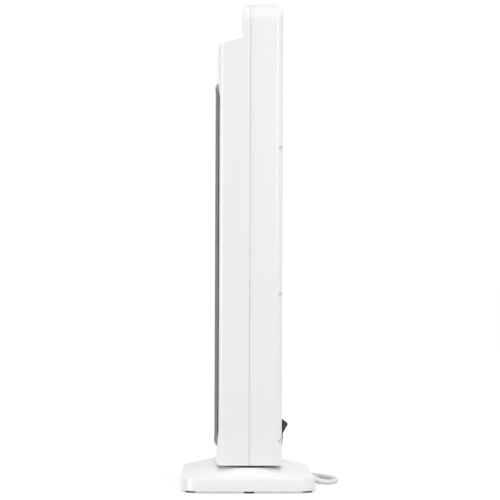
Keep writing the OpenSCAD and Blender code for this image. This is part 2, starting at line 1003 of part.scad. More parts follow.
module heater_frame() {
    color([0.85, 0.82, 0.72])
        difference() {
            block([-60, heater_y - heater_d, heater_z0 - 8], [60, heater_y, heater_z1 + 8]);
            block([-54, heater_y - 40, heater_z0], [54, heater_y + 20, heater_z1]);
        }
}

module ceramic_bars() {
    color([0.9, 0.88, 0.84])
        for (x = bar_x)
            block([x - 3, heater_y - 11, heater_z0 + 0.1], [x + 3, heater_y - 1, heater_z1 - 0.1]);
}

// Folded aluminium strip between x0 and x1
module fin_strip(x0, x1) {
    pitch = 9;
    n = floor((heater_z1 - heater_z0 - 2) / pitch);
    t = 1.4;
    along_y(heater_y - 10, heater_y - 2)
        polygon(concat(
            [for (i = [0:n]) [i % 2 == 0 ? x0 : x1 - t, heater_z0 + 1 + i * pitch]],
            [for (i = [n:-1:0]) [i % 2 == 0 ? x0 + t : x1, heater_z0 + 1 + i * pitch]]
        ));
}

module heating_fins() {
    color([0.78, 0.79, 0.8]) {
        fin_strip(-53.9, -36.1);
        fin_strip(-29.9, -3.1);
        fin_strip(3.1, 29.9);
        fin_strip(36.1, 53.9);
    }
}

module thermal_cutout() {
    color([0.75, 0.72, 0.65])
        translate([0, heater_y - heater_d / 2, heater_z1 + 8]) {
            cylinder(r = 5.5, h = 6);
            block([-12, -1.5, 0], [12, 1.5, 1.2]);
        }
}

base_cover();
base_plate();
feet();
base_weight();
base_screws();
oscillation_motor();
oscillation_pinion();
tip_switch();
tip_plunger();
swivel_ring();
cord_clamp();
inner_lead_base();
cord_bushing();
cord_run();
cord_coil();
cord_lead();
cord_tie();
plug_body();
plug_pins();
front_shell();
rear_shell();
front_grille();
intake_filter();
grip_insert();
turntable();
turntable_screws();
swivel_retainer();
sector_gear();
inner_lead_tower();
case_screws();
control_panel();
display_window();
button_1();
button_2();
button_3();
button_4();
button_5();
button_6();
control_board();
tact_switches();
display_module();
power_board();
power_components();
rocker_housing();
rocker();
impeller();
blower_shaft();
motor_rotor();
motor_stator();
motor_coil();
motor_bracket();
lower_bearing();
air_duct();
heater_frame();
ceramic_bars();
heating_fins();
thermal_cutout();
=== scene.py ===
"""Looks of a ceramic tower heater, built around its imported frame.

Solids are shaped in millimetres, in the frame's own axes, and become pieces in metres.
"""

import logging
import math
from collections.abc import Callable, Sequence
from dataclasses import dataclass, field
from enum import Enum

import bmesh
import bpy
from mathutils import Matrix, Vector


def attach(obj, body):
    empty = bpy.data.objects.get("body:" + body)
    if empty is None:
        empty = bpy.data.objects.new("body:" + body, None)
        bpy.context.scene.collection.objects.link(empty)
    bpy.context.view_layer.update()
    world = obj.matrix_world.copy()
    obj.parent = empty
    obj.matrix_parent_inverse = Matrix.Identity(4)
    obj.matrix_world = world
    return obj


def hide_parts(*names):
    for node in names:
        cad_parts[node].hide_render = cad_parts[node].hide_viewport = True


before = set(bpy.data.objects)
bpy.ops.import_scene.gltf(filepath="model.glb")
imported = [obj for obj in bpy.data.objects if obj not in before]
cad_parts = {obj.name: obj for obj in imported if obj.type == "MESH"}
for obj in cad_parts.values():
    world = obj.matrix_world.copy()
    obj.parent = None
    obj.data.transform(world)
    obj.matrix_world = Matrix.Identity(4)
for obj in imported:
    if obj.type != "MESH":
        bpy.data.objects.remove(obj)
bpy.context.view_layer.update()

LOG = logging.getLogger("tower_heater")
MM = 0.001
LEAD_HOLE = (0.0, 86.6, 9.6)
LEAD_LEAN = 65.0
Point = tuple[float, float, float]
Corner = tuple[float, float, float]
Colour = tuple[float, float, float]


def polar(radius: float, degrees: float) -> tuple[float, float]:
    """The place of a point in a plane, from its radius and angle."""
    return radius * math.cos(math.radians(degrees)), radius * math.sin(math.radians(degrees))


def points_in(geometry: Sequence) -> list[bmesh.types.BMVert]:
    """The points among the parts of a mesh."""
    return [part for part in geometry if isinstance(part, bmesh.types.BMVert)]


class Axis(Enum):
    """The axis that an outline is drawn out along."""

    X = 0
    Y = 1
    Z = 2


class Carve(Enum):
    """What one solid does to another."""

    CUT = "DIFFERENCE"
    KEEP = "INTERSECT"
    JOIN = "UNION"


# ---- Shader wiring and the effects that finishes share ----


@dataclass
class Wiring:
    """Places and joins the nodes of one shader tree.

    Attributes:
        tree: The node tree that is filled.
        column: How many nodes stand in it, which sets where the next one is drawn.
    """

    tree: bpy.types.NodeTree
    column: int = 0

    def add(self, kind: str, inputs: dict | None = None, **settings: object) -> bpy.types.Node:
        """Adds a node.

        Args:
            kind: The node's type.
            inputs: Its inputs by name or number, each a value or another node's output.
            settings: Its other properties.

        Returns:
            The node.
        """
        node = self.tree.nodes.new(kind)
        node.location = (220 * self.column, -40 * (self.column % 4))
        self.column += 1
        for name, value in settings.items():
            setattr(node, name, value)
        for key, value in (inputs or {}).items():
            if isinstance(value, bpy.types.NodeSocket):
                self.tree.links.new(value, node.inputs[key])
            else:
                node.inputs[key].default_value = value
        return node

    def effect(self, group: bpy.types.NodeTree, inputs: dict) -> bpy.types.Node:
        """Places a shared effect with its own values."""
        return self.add("ShaderNodeGroup", inputs, node_tree=group)

    def maths(self, how: str, a: object, b: object) -> bpy.types.NodeSocket:
        """The result of a sum on two values or outputs, kept between 0 and 1."""
        return self.add("ShaderNodeMath", {0: a, 1: b}, operation=how, use_clamp=True).outputs[0]


class Effects:
    """Shader node groups, each built once and shared by the finishes."""

    made: dict[str, bpy.types.NodeTree] = {}

    @classmethod
    def group(
        cls,
        name: str,
        inputs: dict[str, object],
        outputs: Sequence[tuple[str, str]],
        fill: Callable[[Wiring, bpy.types.Node], dict],
    ) -> bpy.types.NodeTree:
        """Builds a group, or returns it if it is there already.

        Args:
            name: The group's name.
            inputs: First value of each input: a number, a colour with its cover, or a vector or None
                for a vector.
            outputs: Name and kind of each output.
            fill: Builds the inside from the wiring and the group's input node.

        Returns:
            The group's tree.
        """
        if name not in cls.made:
            tree = bpy.data.node_groups.new(name, "ShaderNodeTree")
            for label, value in inputs.items():
                coloured = isinstance(value, tuple) and len(value) == 4
                kind = "Float" if isinstance(value, float) else "Color" if coloured else "Vector"
                socket = tree.interface.new_socket(label, in_out="INPUT", socket_type=f"NodeSocket{kind}")
                if value is not None:
                    socket.default_value = value
            for label, kind in outputs:
                tree.interface.new_socket(label, in_out="OUTPUT", socket_type=f"NodeSocket{kind}")
            wiring = Wiring(tree)
            given = wiring.add("NodeGroupInput")
            wiring.add("NodeGroupOutput", fill(wiring, given))
            cls.made[name] = tree
        return cls.made[name]

    @classmethod
    def tone(cls) -> bpy.types.NodeTree:
        """Slow drift of a colour over a moulding, as from flow and handling."""

        def fill(w: Wiring, given: bpy.types.Node) -> dict:
            """Mixes two sizes of noise into the colour."""
            wide = w.add("ShaderNodeTexNoise", {"Vector": given.outputs[0], "Scale": 7.0, "Detail": 3.0})
            fine = w.add("ShaderNodeTexNoise", {"Vector": given.outputs[0], "Scale": 90.0, "Detail": 4.0})
            drift = w.maths("MULTIPLY", w.maths("ADD", wide.outputs[0], fine.outputs[0]), given.outputs[2])
            mix = w.add(
                "ShaderNodeMix",
                {"Factor": drift, 6: given.outputs[1], 7: given.outputs[3]},
                data_type="RGBA",
            )
            return {0: mix.outputs[2]}

        return cls.group(
            "tone_drift",
            {"Vector": None, "Color": (0.8, 0.8, 0.8, 1), "Amount": 0.1, "Second Color": (0.6, 0.6, 0.6, 1)},
            [("Color", "Color")],
            fill,
        )

    @classmethod
    def grain(cls) -> bpy.types.NodeTree:
        """Fine texture that a mould leaves on plastic and rubber."""

        def fill(w: Wiring, given: bpy.types.Node) -> dict:
            """Mixes pits and ripples into a height, and a gloss that follows them."""
            pits = w.add("ShaderNodeTexVoronoi", {"Vector": given.outputs[0], "Scale": given.outputs[1]})
            ripple = w.add(
                "ShaderNodeTexNoise",
                {"Vector": given.outputs[0], "Scale": given.outputs[1], "Detail": 5.0},
            )
            height = w.maths("MULTIPLY", pits.outputs[0], ripple.outputs[0])
            smear = w.add("ShaderNodeTexNoise", {"Vector": given.outputs[0], "Scale": 24.0, "Detail": 6.0})
            gloss = w.add(
                "ShaderNodeMapRange",
                {"Value": smear.outputs[0], 1: 0.3, 2: 0.7, 3: given.outputs[2], 4: given.outputs[3]},
            )
            return {0: height, 1: gloss.outputs[0]}

        return cls.group(
            "mould_grain",
            {"Vector": None, "Scale": 1500.0, "Low Roughness": 0.3, "High Roughness": 0.4},
            [("Height", "Float"), ("Roughness", "Float")],
            fill,
        )

    @classmethod
    def wear(cls) -> bpy.types.NodeTree:
        """Rubbed convex edges, broken up along their length."""

        def fill(w: Wiring, given: bpy.types.Node) -> dict:
            """Takes the sharpness of the surface and breaks it up with noise."""
            edge = w.add("ShaderNodeNewGeometry").outputs["Pointiness"]
            raised = w.add("ShaderNodeMapRange", {"Value": edge, 1: 0.52, 2: 0.62, 3: 0.0, 4: 1.0})
            patch = w.add("ShaderNodeTexNoise", {"Vector": given.outputs[0], "Scale": 60.0, "Detail": 5.0})
            broken = w.maths("MULTIPLY", raised.outputs[0], patch.outputs[0])
            return {0: w.maths("MULTIPLY", broken, given.outputs[1])}

        return cls.group(
            "edge_wear",
            {"Vector": None, "Amount": 0.5},
            [("Mask", "Float")],
            fill,
        )

    @classmethod
    def dust(cls) -> bpy.types.NodeTree:
        """Dust that settles on faces that look up."""

        def fill(w: Wiring, given: bpy.types.Node) -> dict:
            """Lets specks through where the surface looks up."""
            split = w.add("ShaderNodeSeparateXYZ", {0: given.outputs[1]})
            up = w.add("ShaderNodeMapRange", {"Value": split.outputs[2], 1: 0.5, 2: 1.0, 3: 0.0, 4: 1.0})
            specks = w.add("ShaderNodeTexNoise", {"Vector": given.outputs[0], "Scale": 420.0, "Detail": 7.0})
            sparse = w.add("ShaderNodeMapRange", {"Value": specks.outputs[0], 1: 0.5, 2: 0.8, 3: 0.0, 4: 1.0})
            lying = w.maths("MULTIPLY", up.outputs[0], sparse.outputs[0])
            return {0: w.maths("MULTIPLY", lying, given.outputs[2])}

        return cls.group(
            "settled_dust",
            {"Vector": None, "Normal": None, "Amount": 0.3},
            [("Mask", "Float")],
            fill,
        )

    @classmethod
    def lines(cls) -> bpy.types.NodeTree:
        """Fine lines that rolling or drawing leaves on metal."""

        def fill(w: Wiring, given: bpy.types.Node) -> dict:
            """Stretches noise along one direction."""
            drawn = w.add(
                "ShaderNodeVectorMath", {0: given.outputs[0], 1: given.outputs[1]}, operation="MULTIPLY"
            )
            streak = w.add("ShaderNodeTexNoise", {"Vector": drawn.outputs[0], "Scale": 1.0, "Detail": 4.0})
            gloss = w.add(
                "ShaderNodeMapRange",
                {"Value": streak.outputs[0], 1: 0.3, 2: 0.7, 3: given.outputs[2], 4: given.outputs[3]},
            )
            return {0: streak.outputs[0], 1: gloss.outputs[0]}

        return cls.group(
            "drawn_lines",
            {
                "Vector": None,
                "Stretch": (60.0, 2500.0, 2500.0),
                "Low Roughness": 0.25,
                "High Roughness": 0.45,
            },
            [("Height", "Float"), ("Roughness", "Float")],
            fill,
        )


# ---- Finishes ----


def rgba(colour: Colour) -> tuple[float, float, float, float]:
    """A colour with full cover."""
    return (*colour, 1.0)


@dataclass(frozen=True)
class Finish:
    """A surface that pieces share.

    Attributes:
        name: The material's name.
        colour: Its main colour.
        other_slot: A slot name, which is not used.
    """

    name: str
    colour: Colour
    other_slot: str = ""

    def material(self) -> bpy.types.Material:
        """The finish's material, built when it is first asked for."""
        found = bpy.data.materials.get(self.name)
        if found is not None:
            return found
        made = bpy.data.materials.new(self.name)
        made.use_nodes = True
        made.node_tree.nodes.clear()
        made.diffuse_color = rgba(self.colour)
        wiring = Wiring(made.node_tree)
        shader = self.surface(wiring)
        wiring.add("ShaderNodeOutputMaterial", {"Surface": shader.outputs[0]})
        return made

    def surface(self, w: Wiring) -> bpy.types.Node:
        """Builds the finish's nodes and returns its shader."""
        raise NotImplementedError

    def toned(self, w: Wiring, place: bpy.types.NodeSocket, amount: float, second: Colour) -> bpy.types.Node:
        """Lets the main colour drift towards a second one."""
        values = {"Vector": place, "Color": rgba(self.colour), "Amount": amount, "Second Color": rgba(second)}
        return w.effect(Effects.tone(), values)

    @staticmethod
    def grained(
        w: Wiring, place: bpy.types.NodeSocket, scale: float, gloss: tuple[float, float]
    ) -> bpy.types.Node:
        """Places the mould's grain, between two roughnesses."""
        values = {"Vector": place, "Scale": scale, "Low Roughness": gloss[0], "High Roughness": gloss[1]}
        return w.effect(Effects.grain(), values)


@dataclass(frozen=True)
class Moulded(Finish):
    """Moulded plastic, resin or rubber.

    Attributes:
        drift: The colour that it drifts towards.
        gloss: Lowest and highest roughness.
        grain_mm: Size of its mould texture.
        depth: Depth of that texture, in metres.
        wear: How much of its edges is rubbed.
        dust: How much dust lies on it.
        coat: Weight of a clear gloss over it.
        dust_colour: Colour of the dust and rubbed edges.
    """

    drift: Colour = (0.7, 0.7, 0.69)
    gloss: tuple[float, float] = (0.32, 0.42)
    grain_mm: float = 0.7
    depth: float = 0.00002
    wear: float = 0.25
    dust: float = 0.15
    coat: float = 0.0
    dust_colour: Colour = (0.78, 0.77, 0.74)

    def surface(self, w: Wiring) -> bpy.types.Node:
        """Tone, then wear and dust over it, with the mould's grain as bump."""
        at = w.add("ShaderNodeTexCoord")
        place = at.outputs["Object"]
        tone = self.toned(w, place, 0.3, self.drift)
        grain = self.grained(w, place, 1000 / self.grain_mm, self.gloss)
        worn = w.effect(Effects.wear(), {"Vector": place, "Amount": self.wear})
        lying = {"Vector": place, "Normal": at.outputs["Normal"], "Amount": self.dust}
        dusty = w.effect(Effects.dust(), lying)
        over = w.maths("MAXIMUM", worn.outputs[0], dusty.outputs[0])
        colour = w.add(
            "ShaderNodeMix", {"Factor": over, 6: tone.outputs[0], 7: rgba(self.dust_colour)}, data_type="RGBA"
        )
        rough = w.add("ShaderNodeMix", {"Factor": over, 2: grain.outputs[1], 3: 0.7})
        bump = w.add("ShaderNodeBump", {"Height": grain.outputs[0], "Distance": self.depth, "Strength": 0.6})
        return w.add(
            "ShaderNodeBsdfPrincipled",
            {
                "Base Color": colour.outputs[2],
                "Roughness": rough.outputs[0],
                "Normal": bump.outputs[0],
                "Coat Weight": self.coat,
                "Coat Roughness": 0.06,
            },
        )


@dataclass(frozen=True)
class Metal(Finish):
    """Rolled, drawn or cast metal.

    Attributes:
        drift: The colour of its duller patches.
        gloss: Lowest and highest roughness.
        stretch: How its lines are drawn out, per metre along each axis.
        depth: Depth of its lines, in metres.
    """

    drift: Colour = (0.4, 0.4, 0.41)
    gloss: tuple[float, float] = (0.22, 0.42)
    stretch: tuple[float, float, float] = (80.0, 2200.0, 2200.0)
    depth: float = 0.00002

    def surface(self, w: Wiring) -> bpy.types.Node:
        """Drawn lines over a metal whose tone drifts."""
        place = w.add("ShaderNodeTexCoord").outputs["Object"]
        tone = self.toned(w, place, 0.4, self.drift)
        lines = w.effect(
            Effects.lines(),
            {
                "Vector": place,
                "Stretch": self.stretch,
                "Low Roughness": self.gloss[0],
                "High Roughness": self.gloss[1],
            },
        )
        bump = w.add("ShaderNodeBump", {"Height": lines.outputs[0], "Distance": self.depth, "Strength": 0.5})
        return w.add(
            "ShaderNodeBsdfPrincipled",
            {
                "Base Color": tone.outputs[0],
                "Roughness": lines.outputs[1],
                "Metallic": 1.0,
                "Normal": bump.outputs[0],
            },
        )


@dataclass(frozen=True)
class Board(Finish):
    """Circuit board with tracks under its lacquer.

    Attributes:
        track: Colour of the tracks.
        pitch_mm: Distance from track to track.
    """

    track: Colour = (0.12, 0.33, 0.16)
    pitch_mm: float = 3.0

    def surface(self, w: Wiring) -> bpy.types.Node:
        """Tracks from an even brick pattern, slightly raised."""
        at = w.add("ShaderNodeTexCoord")
        turned = w.add("ShaderNodeMapping", {"Vector": at.outputs["Object"], "Rotation": (math.pi / 2, 0, 0)})
        tracks = w.add(
            "ShaderNodeTexBrick",
            {
                "Vector": turned.outputs[0],
                "Scale": 1000 / self.pitch_mm,
                "Color1": rgba(self.colour),
                "Color2": rgba(self.colour),
                "Mortar": rgba(self.track),
                "Mortar Size": 0.12,
            },
        )
        tone = self.toned(w, at.outputs["Object"], 0.3, self.track)
        w.tree.links.new(tracks.outputs[0], tone.inputs["Color"])
        bump = w.add("ShaderNodeBump", {"Height": tracks.outputs[1], "Distance": 0.00003, "Strength": 0.5})
        grain = self.grained(w, at.outputs["Object"], 900.0, (0.2, 0.35))
        return w.add(
            "ShaderNodeBsdfPrincipled",
            {
                "Base Color": tone.outputs[0],
                "Roughness": grain.outputs[1],
                "Normal": bump.outputs[0],
                "Coat Weight": 0.3,
            },
        )


@dataclass(frozen=True)
class Winding(Finish):
    """Lacquered wire wound side by side.

    Attributes:
        wire_mm: Thickness of the wire.
    """

    wire_mm: float = 0.5

    def surface(self, w: Wiring) -> bpy.types.Node:
        """Bands of round wire, with a lacquer that drifts in tone."""
        at = w.add("ShaderNodeTexCoord")
        bands = w.add(
            "ShaderNodeTexWave",
            {"Vector": at.outputs["Object"], "Scale": 1000 / self.wire_mm / math.tau, "Distortion": 0.6},
            bands_direction="X",
        )
        tone = self.toned(w, at.outputs["Object"], 0.5, (0.3, 0.09, 0.03))
        grain = self.grained(w, at.outputs["Object"], 1800.0, (0.2, 0.35))
        bump = w.add("ShaderNodeBump", {"Height": bands.outputs[1], "Distance": 0.00015, "Strength": 0.8})
        return w.add(
            "ShaderNodeBsdfPrincipled",
            {
                "Base Color": tone.outputs[0],
                "Roughness": grain.outputs[1],
                "Metallic": 0.8,
                "Normal": bump.outputs[0],
                "Coat Weight": 0.5,
            },
        )


@dataclass(frozen=True)
class Smoked(Finish):
    """Smoked clear plastic over the display."""

    def surface(self, w: Wiring) -> bpy.types.Node:
        """A dark clear plastic with faint smears."""
        place = w.add("ShaderNodeTexCoord").outputs["Object"]
        grain = self.grained(w, place, 600.0, (0.03, 0.12))
        tone = self.toned(w, place, 0.2, (0.03, 0.03, 0.035))
        return w.add(
            "ShaderNodeBsdfPrincipled",
            {
                "Base Color": tone.outputs[0],
                "Roughness": grain.outputs[1],
                "Transmission Weight": 0.6,
                "IOR": 1.49,
                "Coat Weight": 0.6,
            },
        )


WHITE_CASE = Moulded("white_case", (0.83, 0.83, 0.828), drift=(0.775, 0.775, 0.77))
BASE_FLOOR = Moulded("base_floor", (0.72, 0.72, 0.71), drift=(0.64, 0.64, 0.63), gloss=(0.45, 0.6))
FOOT_RUBBER = Moulded(
    "foot_rubber", (0.11, 0.11, 0.115), drift=(0.06, 0.06, 0.06), gloss=(0.7, 0.85), dust=0.1,
    dust_colour=(0.3, 0.3, 0.29),
)
ZINC_STEEL = Metal("zinc_steel", (0.62, 0.63, 0.66))
NATURAL_NYLON = Moulded("natural_nylon", (0.78, 0.74, 0.62), drift=(0.7, 0.65, 0.5), gloss=(0.35, 0.5))
BLACK_NYLON = Moulded(
    "black_nylon", (0.03, 0.03, 0.032), drift=(0.05, 0.05, 0.05), dust_colour=(0.2, 0.2, 0.2),
)
RED_PLASTIC = Moulded("red_plastic", (0.6, 0.05, 0.03), drift=(0.5, 0.08, 0.05))
LEAD_JACKET = Moulded(
    "lead_jacket", (0.9, 0.9, 0.89), drift=(0.86, 0.86, 0.85), gloss=(0.38, 0.52), grain_mm=0.5,
)
PLUG_PLASTIC = Moulded("plug_plastic", (0.84, 0.84, 0.83), drift=(0.79, 0.79, 0.77), gloss=(0.36, 0.5))
NICKEL_PIN = Metal("nickel_pin", (0.72, 0.69, 0.63), gloss=(0.12, 0.25), drift=(0.6, 0.57, 0.5))
TIE_PLASTIC = Moulded(
    "tie_plastic", (0.03, 0.03, 0.03), drift=(0.05, 0.05, 0.05), gloss=(0.4, 0.55),
    dust_colour=(0.2, 0.2, 0.2),
)
GLOSS_BLACK = Moulded(
    "gloss_black", (0.018, 0.018, 0.02), drift=(0.03, 0.03, 0.032), gloss=(0.12, 0.2), grain_mm=1.5,
    depth=0.000004, wear=0.05, dust=0.03, coat=0.6, dust_colour=(0.16, 0.16, 0.16),
)
SATIN_BLACK = Moulded(
    "satin_black", (0.022, 0.022, 0.024), drift=(0.035, 0.035, 0.036), gloss=(0.34, 0.48), wear=0.2,
    dust=0.06, dust_colour=(0.18, 0.18, 0.18),
)
FILTER_MESH = Moulded(
    "filter_mesh", (0.05, 0.05, 0.052), drift=(0.09, 0.09, 0.09), gloss=(0.55, 0.7),
    dust_colour=(0.25, 0.25, 0.24),
)
SMOKED_WINDOW = Smoked("smoked_window", (0.012, 0.012, 0.014))
CIRCUIT_BOARD = Board("circuit_board", (0.02, 0.07, 0.035))
COMPONENT_BLUE = Moulded("component_blue", (0.06, 0.14, 0.3), drift=(0.04, 0.09, 0.2), coat=0.3)
ROTOR_ALLOY = Metal("rotor_alloy", (0.5, 0.51, 0.53), stretch=(1500.0, 1500.0, 90.0))
STATOR_STEEL = Metal("stator_steel", (0.36, 0.37, 0.39), stretch=(60.0, 60.0, 2000.0), depth=0.00006)
COPPER_WINDING = Winding("copper_winding", (0.6, 0.22, 0.07))
SINTERED_BRONZE = Metal(
    "sintered_bronze", (0.55, 0.36, 0.16), stretch=(1800.0, 1800.0, 1800.0), gloss=(0.35, 0.6),
)
DUCT_STEEL = Metal("duct_steel", (0.3, 0.31, 0.33), stretch=(1800.0, 1800.0, 60.0), gloss=(0.3, 0.5))
CREAM_RESIN = Moulded("cream_resin", (0.7, 0.64, 0.48), drift=(0.6, 0.53, 0.38), gloss=(0.5, 0.65))
PTC_CERAMIC = Moulded(
    "ptc_ceramic", (0.72, 0.69, 0.62), drift=(0.55, 0.5, 0.43), gloss=(0.6, 0.8), grain_mm=0.4,
)
FIN_ALUMINIUM = Metal("fin_aluminium", (0.75, 0.76, 0.78), stretch=(90.0, 1800.0, 1800.0))
CUTOUT_CERAMIC = Moulded("cutout_ceramic", (0.66, 0.62, 0.52), drift=(0.55, 0.5, 0.4), gloss=(0.5, 0.7))
KEY_PLASTIC = Moulded(
    "key_plastic", (0.62, 0.62, 0.63), drift=(0.55, 0.55, 0.56), gloss=(0.22, 0.32), dust=0.04, coat=0.2,
)
PRINTED_MARK = Moulded(
    "printed_mark", (0.09, 0.09, 0.1), drift=(0.13, 0.13, 0.13), gloss=(0.4, 0.5), dust=0.0, wear=0.0,
    other_slot="key_plastic",
)
PALE_MARK = Moulded(
    "pale_mark", (0.7, 0.7, 0.7), drift=(0.6, 0.6, 0.6), gloss=(0.4, 0.5), dust=0.0, wear=0.0,
    other_slot="satin_black",
)


# ---- Solids and pieces ----


@dataclass
class Solid:
    """A solid in the making, in millimetres.

    Attributes:
        bm: Its mesh.
    """

    bm: bmesh.types.BMesh = field(default_factory=bmesh.new)

    @classmethod
    def block(cls, low: Point, high: Point) -> "Solid":
        """A box between two corners."""
        made = cls()
        verts = bmesh.ops.create_cube(made.bm, size=1)["verts"]
        bmesh.ops.scale(made.bm, vec=[h - l for l, h in zip(low, high)], verts=verts)
        bmesh.ops.translate(made.bm, vec=[(l + h) / 2 for l, h in zip(low, high)], verts=verts)
        return made

    @classmethod
    def rod(cls, radius: float, length: float, segments: int = 48) -> "Solid":
        """A round rod that stands on the origin.

        Args:
            radius: Its radius.
            length: Its length, along +Z.
            segments: Sides round it.

        Returns:
            The solid.
        """
        made = cls()
        verts = bmesh.ops.create_cone(
            made.bm, cap_ends=True, segments=segments, radius1=radius, radius2=radius, depth=length
        )["verts"]
        bmesh.ops.translate(made.bm, vec=(0, 0, length / 2), verts=verts)
        return made

    @classmethod
    def prism(
        cls, corners: Sequence[Corner], low: float, high: float, axis: Axis = Axis.Z, segments: int = 10
    ) -> "Solid":
        """Draws out an outline whose corners are rounded.

        Args:
            corners: Each corner's place across the axis, in frame order, and its radius.
            low: Where the solid starts along the axis.
            high: Where it ends.
            axis: The axis that it is drawn along.
            segments: Faces round each rounded corner.

        Returns:
            The solid.
        """
        made = cls()
        verts = []
        for u, v, _ in corners:
            verts.append(made.bm.verts.new(cls.at((u, v, 0.0), low, axis)))
        made.bm.faces.new(verts)
        for i, vert in enumerate(verts):
            radius = corners[i][2]
            if radius > 0:
                before = Vector(cls.at(corners[i - 1], low, axis)) - vert.co
                after = Vector(cls.at(corners[(i + 1) % len(corners)], low, axis)) - vert.co
                offset = radius / math.tan(before.angle(after) / 2)
                bmesh.ops.bevel(
                    made.bm, geom=[vert], offset=offset, segments=segments, profile=0.5,
                    affect="VERTICES", material=-1,
                )
        face = list(made.bm.faces)
        drawn = bmesh.ops.extrude_face_region(made.bm, geom=face)["geom"]
        way = Vector((0, 0, 0))
        way[axis.value] = high - low
        bmesh.ops.translate(made.bm, vec=way, verts=points_in(drawn))
        return made.outward()

    @classmethod
    def plate(
        cls, low: Point, high: Point, radius: float, axis: Axis = Axis.Z, segments: int = 10
    ) -> "Solid":
        """A box between two corners, whose four edges along an axis are rounded."""
        (u0, v0), (u1, v1) = ([c for i, c in enumerate(p) if i != axis.value] for p in (low, high))
        corners = [(u0, v0, radius), (u1, v0, radius), (u1, v1, radius), (u0, v1, radius)]
        return cls.prism(corners, low[axis.value], high[axis.value], axis, segments)

    @staticmethod
    def at(corner: Corner, along: float, axis: Axis) -> Point:
        """The place of a corner, along an axis."""
        place = [corner[0], corner[1]]
        place.insert(axis.value, along)
        return tuple(place)

    @classmethod
    def lathe(cls, profile: Sequence[tuple[float, float]], segments: int = 48) -> "Solid":
        """Turns a profile about Z.

        Args:
            profile: Radius and height of each point, from pole to pole.
            segments: Faces round it.

        Returns:
            The solid.
        """
        made = cls()
        verts = [made.bm.verts.new((r, 0, z)) for r, z in profile]
        edges = [made.bm.edges.new(pair) for pair in zip(verts, verts[1:])]
        bmesh.ops.spin(
            made.bm, geom=verts + edges, cent=(0, 0, 0), axis=(0, 0, 1), dvec=(0, 0, 0),
            angle=math.tau, steps=segments, use_merge=True,
        )
        return made.outward()

    def outward(self) -> "Solid":
        """Merges doubles and turns every face outward."""
        bmesh.ops.remove_doubles(self.bm, verts=self.bm.verts, dist=1e-4)
        bmesh.ops.recalc_face_normals(self.bm, faces=self.bm.faces)
        return self

    def copy(self) -> "Solid":
        """A solid of the same shape."""
        return Solid(self.bm.copy())

    def moved(self, *way: float) -> "Solid":
        """Moves the solid."""
        bmesh.ops.translate(self.bm, vec=way, verts=self.bm.verts)
        return self

    def turned(self, degrees: float, axis: Axis, about: Point = (0, 0, 0)) -> "Solid":
        """Turns the solid about an axis through a point."""
        turn = Matrix.Rotation(math.radians(degrees), 3, axis.name)
        bmesh.ops.rotate(self.bm, cent=about, matrix=turn, verts=self.bm.verts)
        return self

    def scaled(self, x: float, y: float, z: float) -> "Solid":
        """Stretches the solid about the origin."""
        bmesh.ops.scale(self.bm, vec=(x, y, z), verts=self.bm.verts)
        return self

    def shifted(self, rule: Callable[[Vector], Vector]) -> "Solid":
        """Moves each point to where a rule puts it."""
        for vert in self.bm.verts:
            vert.co = rule(vert.co)
        return self

    def added(self, *others: "Solid") -> "Solid":
        """Takes in other solids that don't meet this one."""
        for other in others:
            spare = bpy.data.meshes.new("spare")
            other.bm.to_mesh(spare)
            self.bm.from_mesh(spare)
            bpy.data.meshes.remove(spare)
        return self

    def eased(
        self, offset: float, choose: Callable[[bmesh.types.BMEdge], bool], segments: int = 3
    ) -> "Solid":
        """Rounds the edges that a rule chooses.

        Args:
            offset: Width of the rounding.
            choose: Whether an edge is rounded.
            segments: Faces across it.

        Returns:
            This solid.
        """
        edges = [e for e in self.bm.edges if len(e.link_faces) == 2 and choose(e)]
        bmesh.ops.bevel(
            self.bm, geom=edges, offset=offset, segments=segments, profile=0.5, affect="EDGES",
            clamp_overlap=True, material=-1,
        )
        return self

    def carved(self, how: Carve, *others: "Solid") -> "Solid":
        """Cuts, keeps or joins this solid with others.

        Args:
            how: What the others do to it.
            others: Closed solids.

        Returns:
            This solid.
        """
        body = self.temporary("body")
        tool = Solid().added(*others).temporary("tool")
        step = body.modifiers.new("carve", "BOOLEAN")
        step.operation = how.value
        step.solver = "EXACT"
        step.use_self = len(others) > 1
        step.object = tool
        bpy.context.view_layer.update()
        result = bpy.data.meshes.new_from_object(body.evaluated_get(bpy.context.evaluated_depsgraph_get()))
        self.bm.clear()
        self.bm.from_mesh(result)
        bmesh.ops.remove_doubles(self.bm, verts=self.bm.verts, dist=1e-3)
        for mesh in (body.data, tool.data):
            bpy.data.meshes.remove(mesh)
        bpy.data.meshes.remove(result)
        return self

    def temporary(self, name: str) -> bpy.types.Object:
        """An object with this mesh, for a step that works on objects."""
        mesh = bpy.data.meshes.new(name)
        self.bm.to_mesh(mesh)
        made = bpy.data.objects.new(name, mesh)
        bpy.context.scene.collection.objects.link(made)
        return made

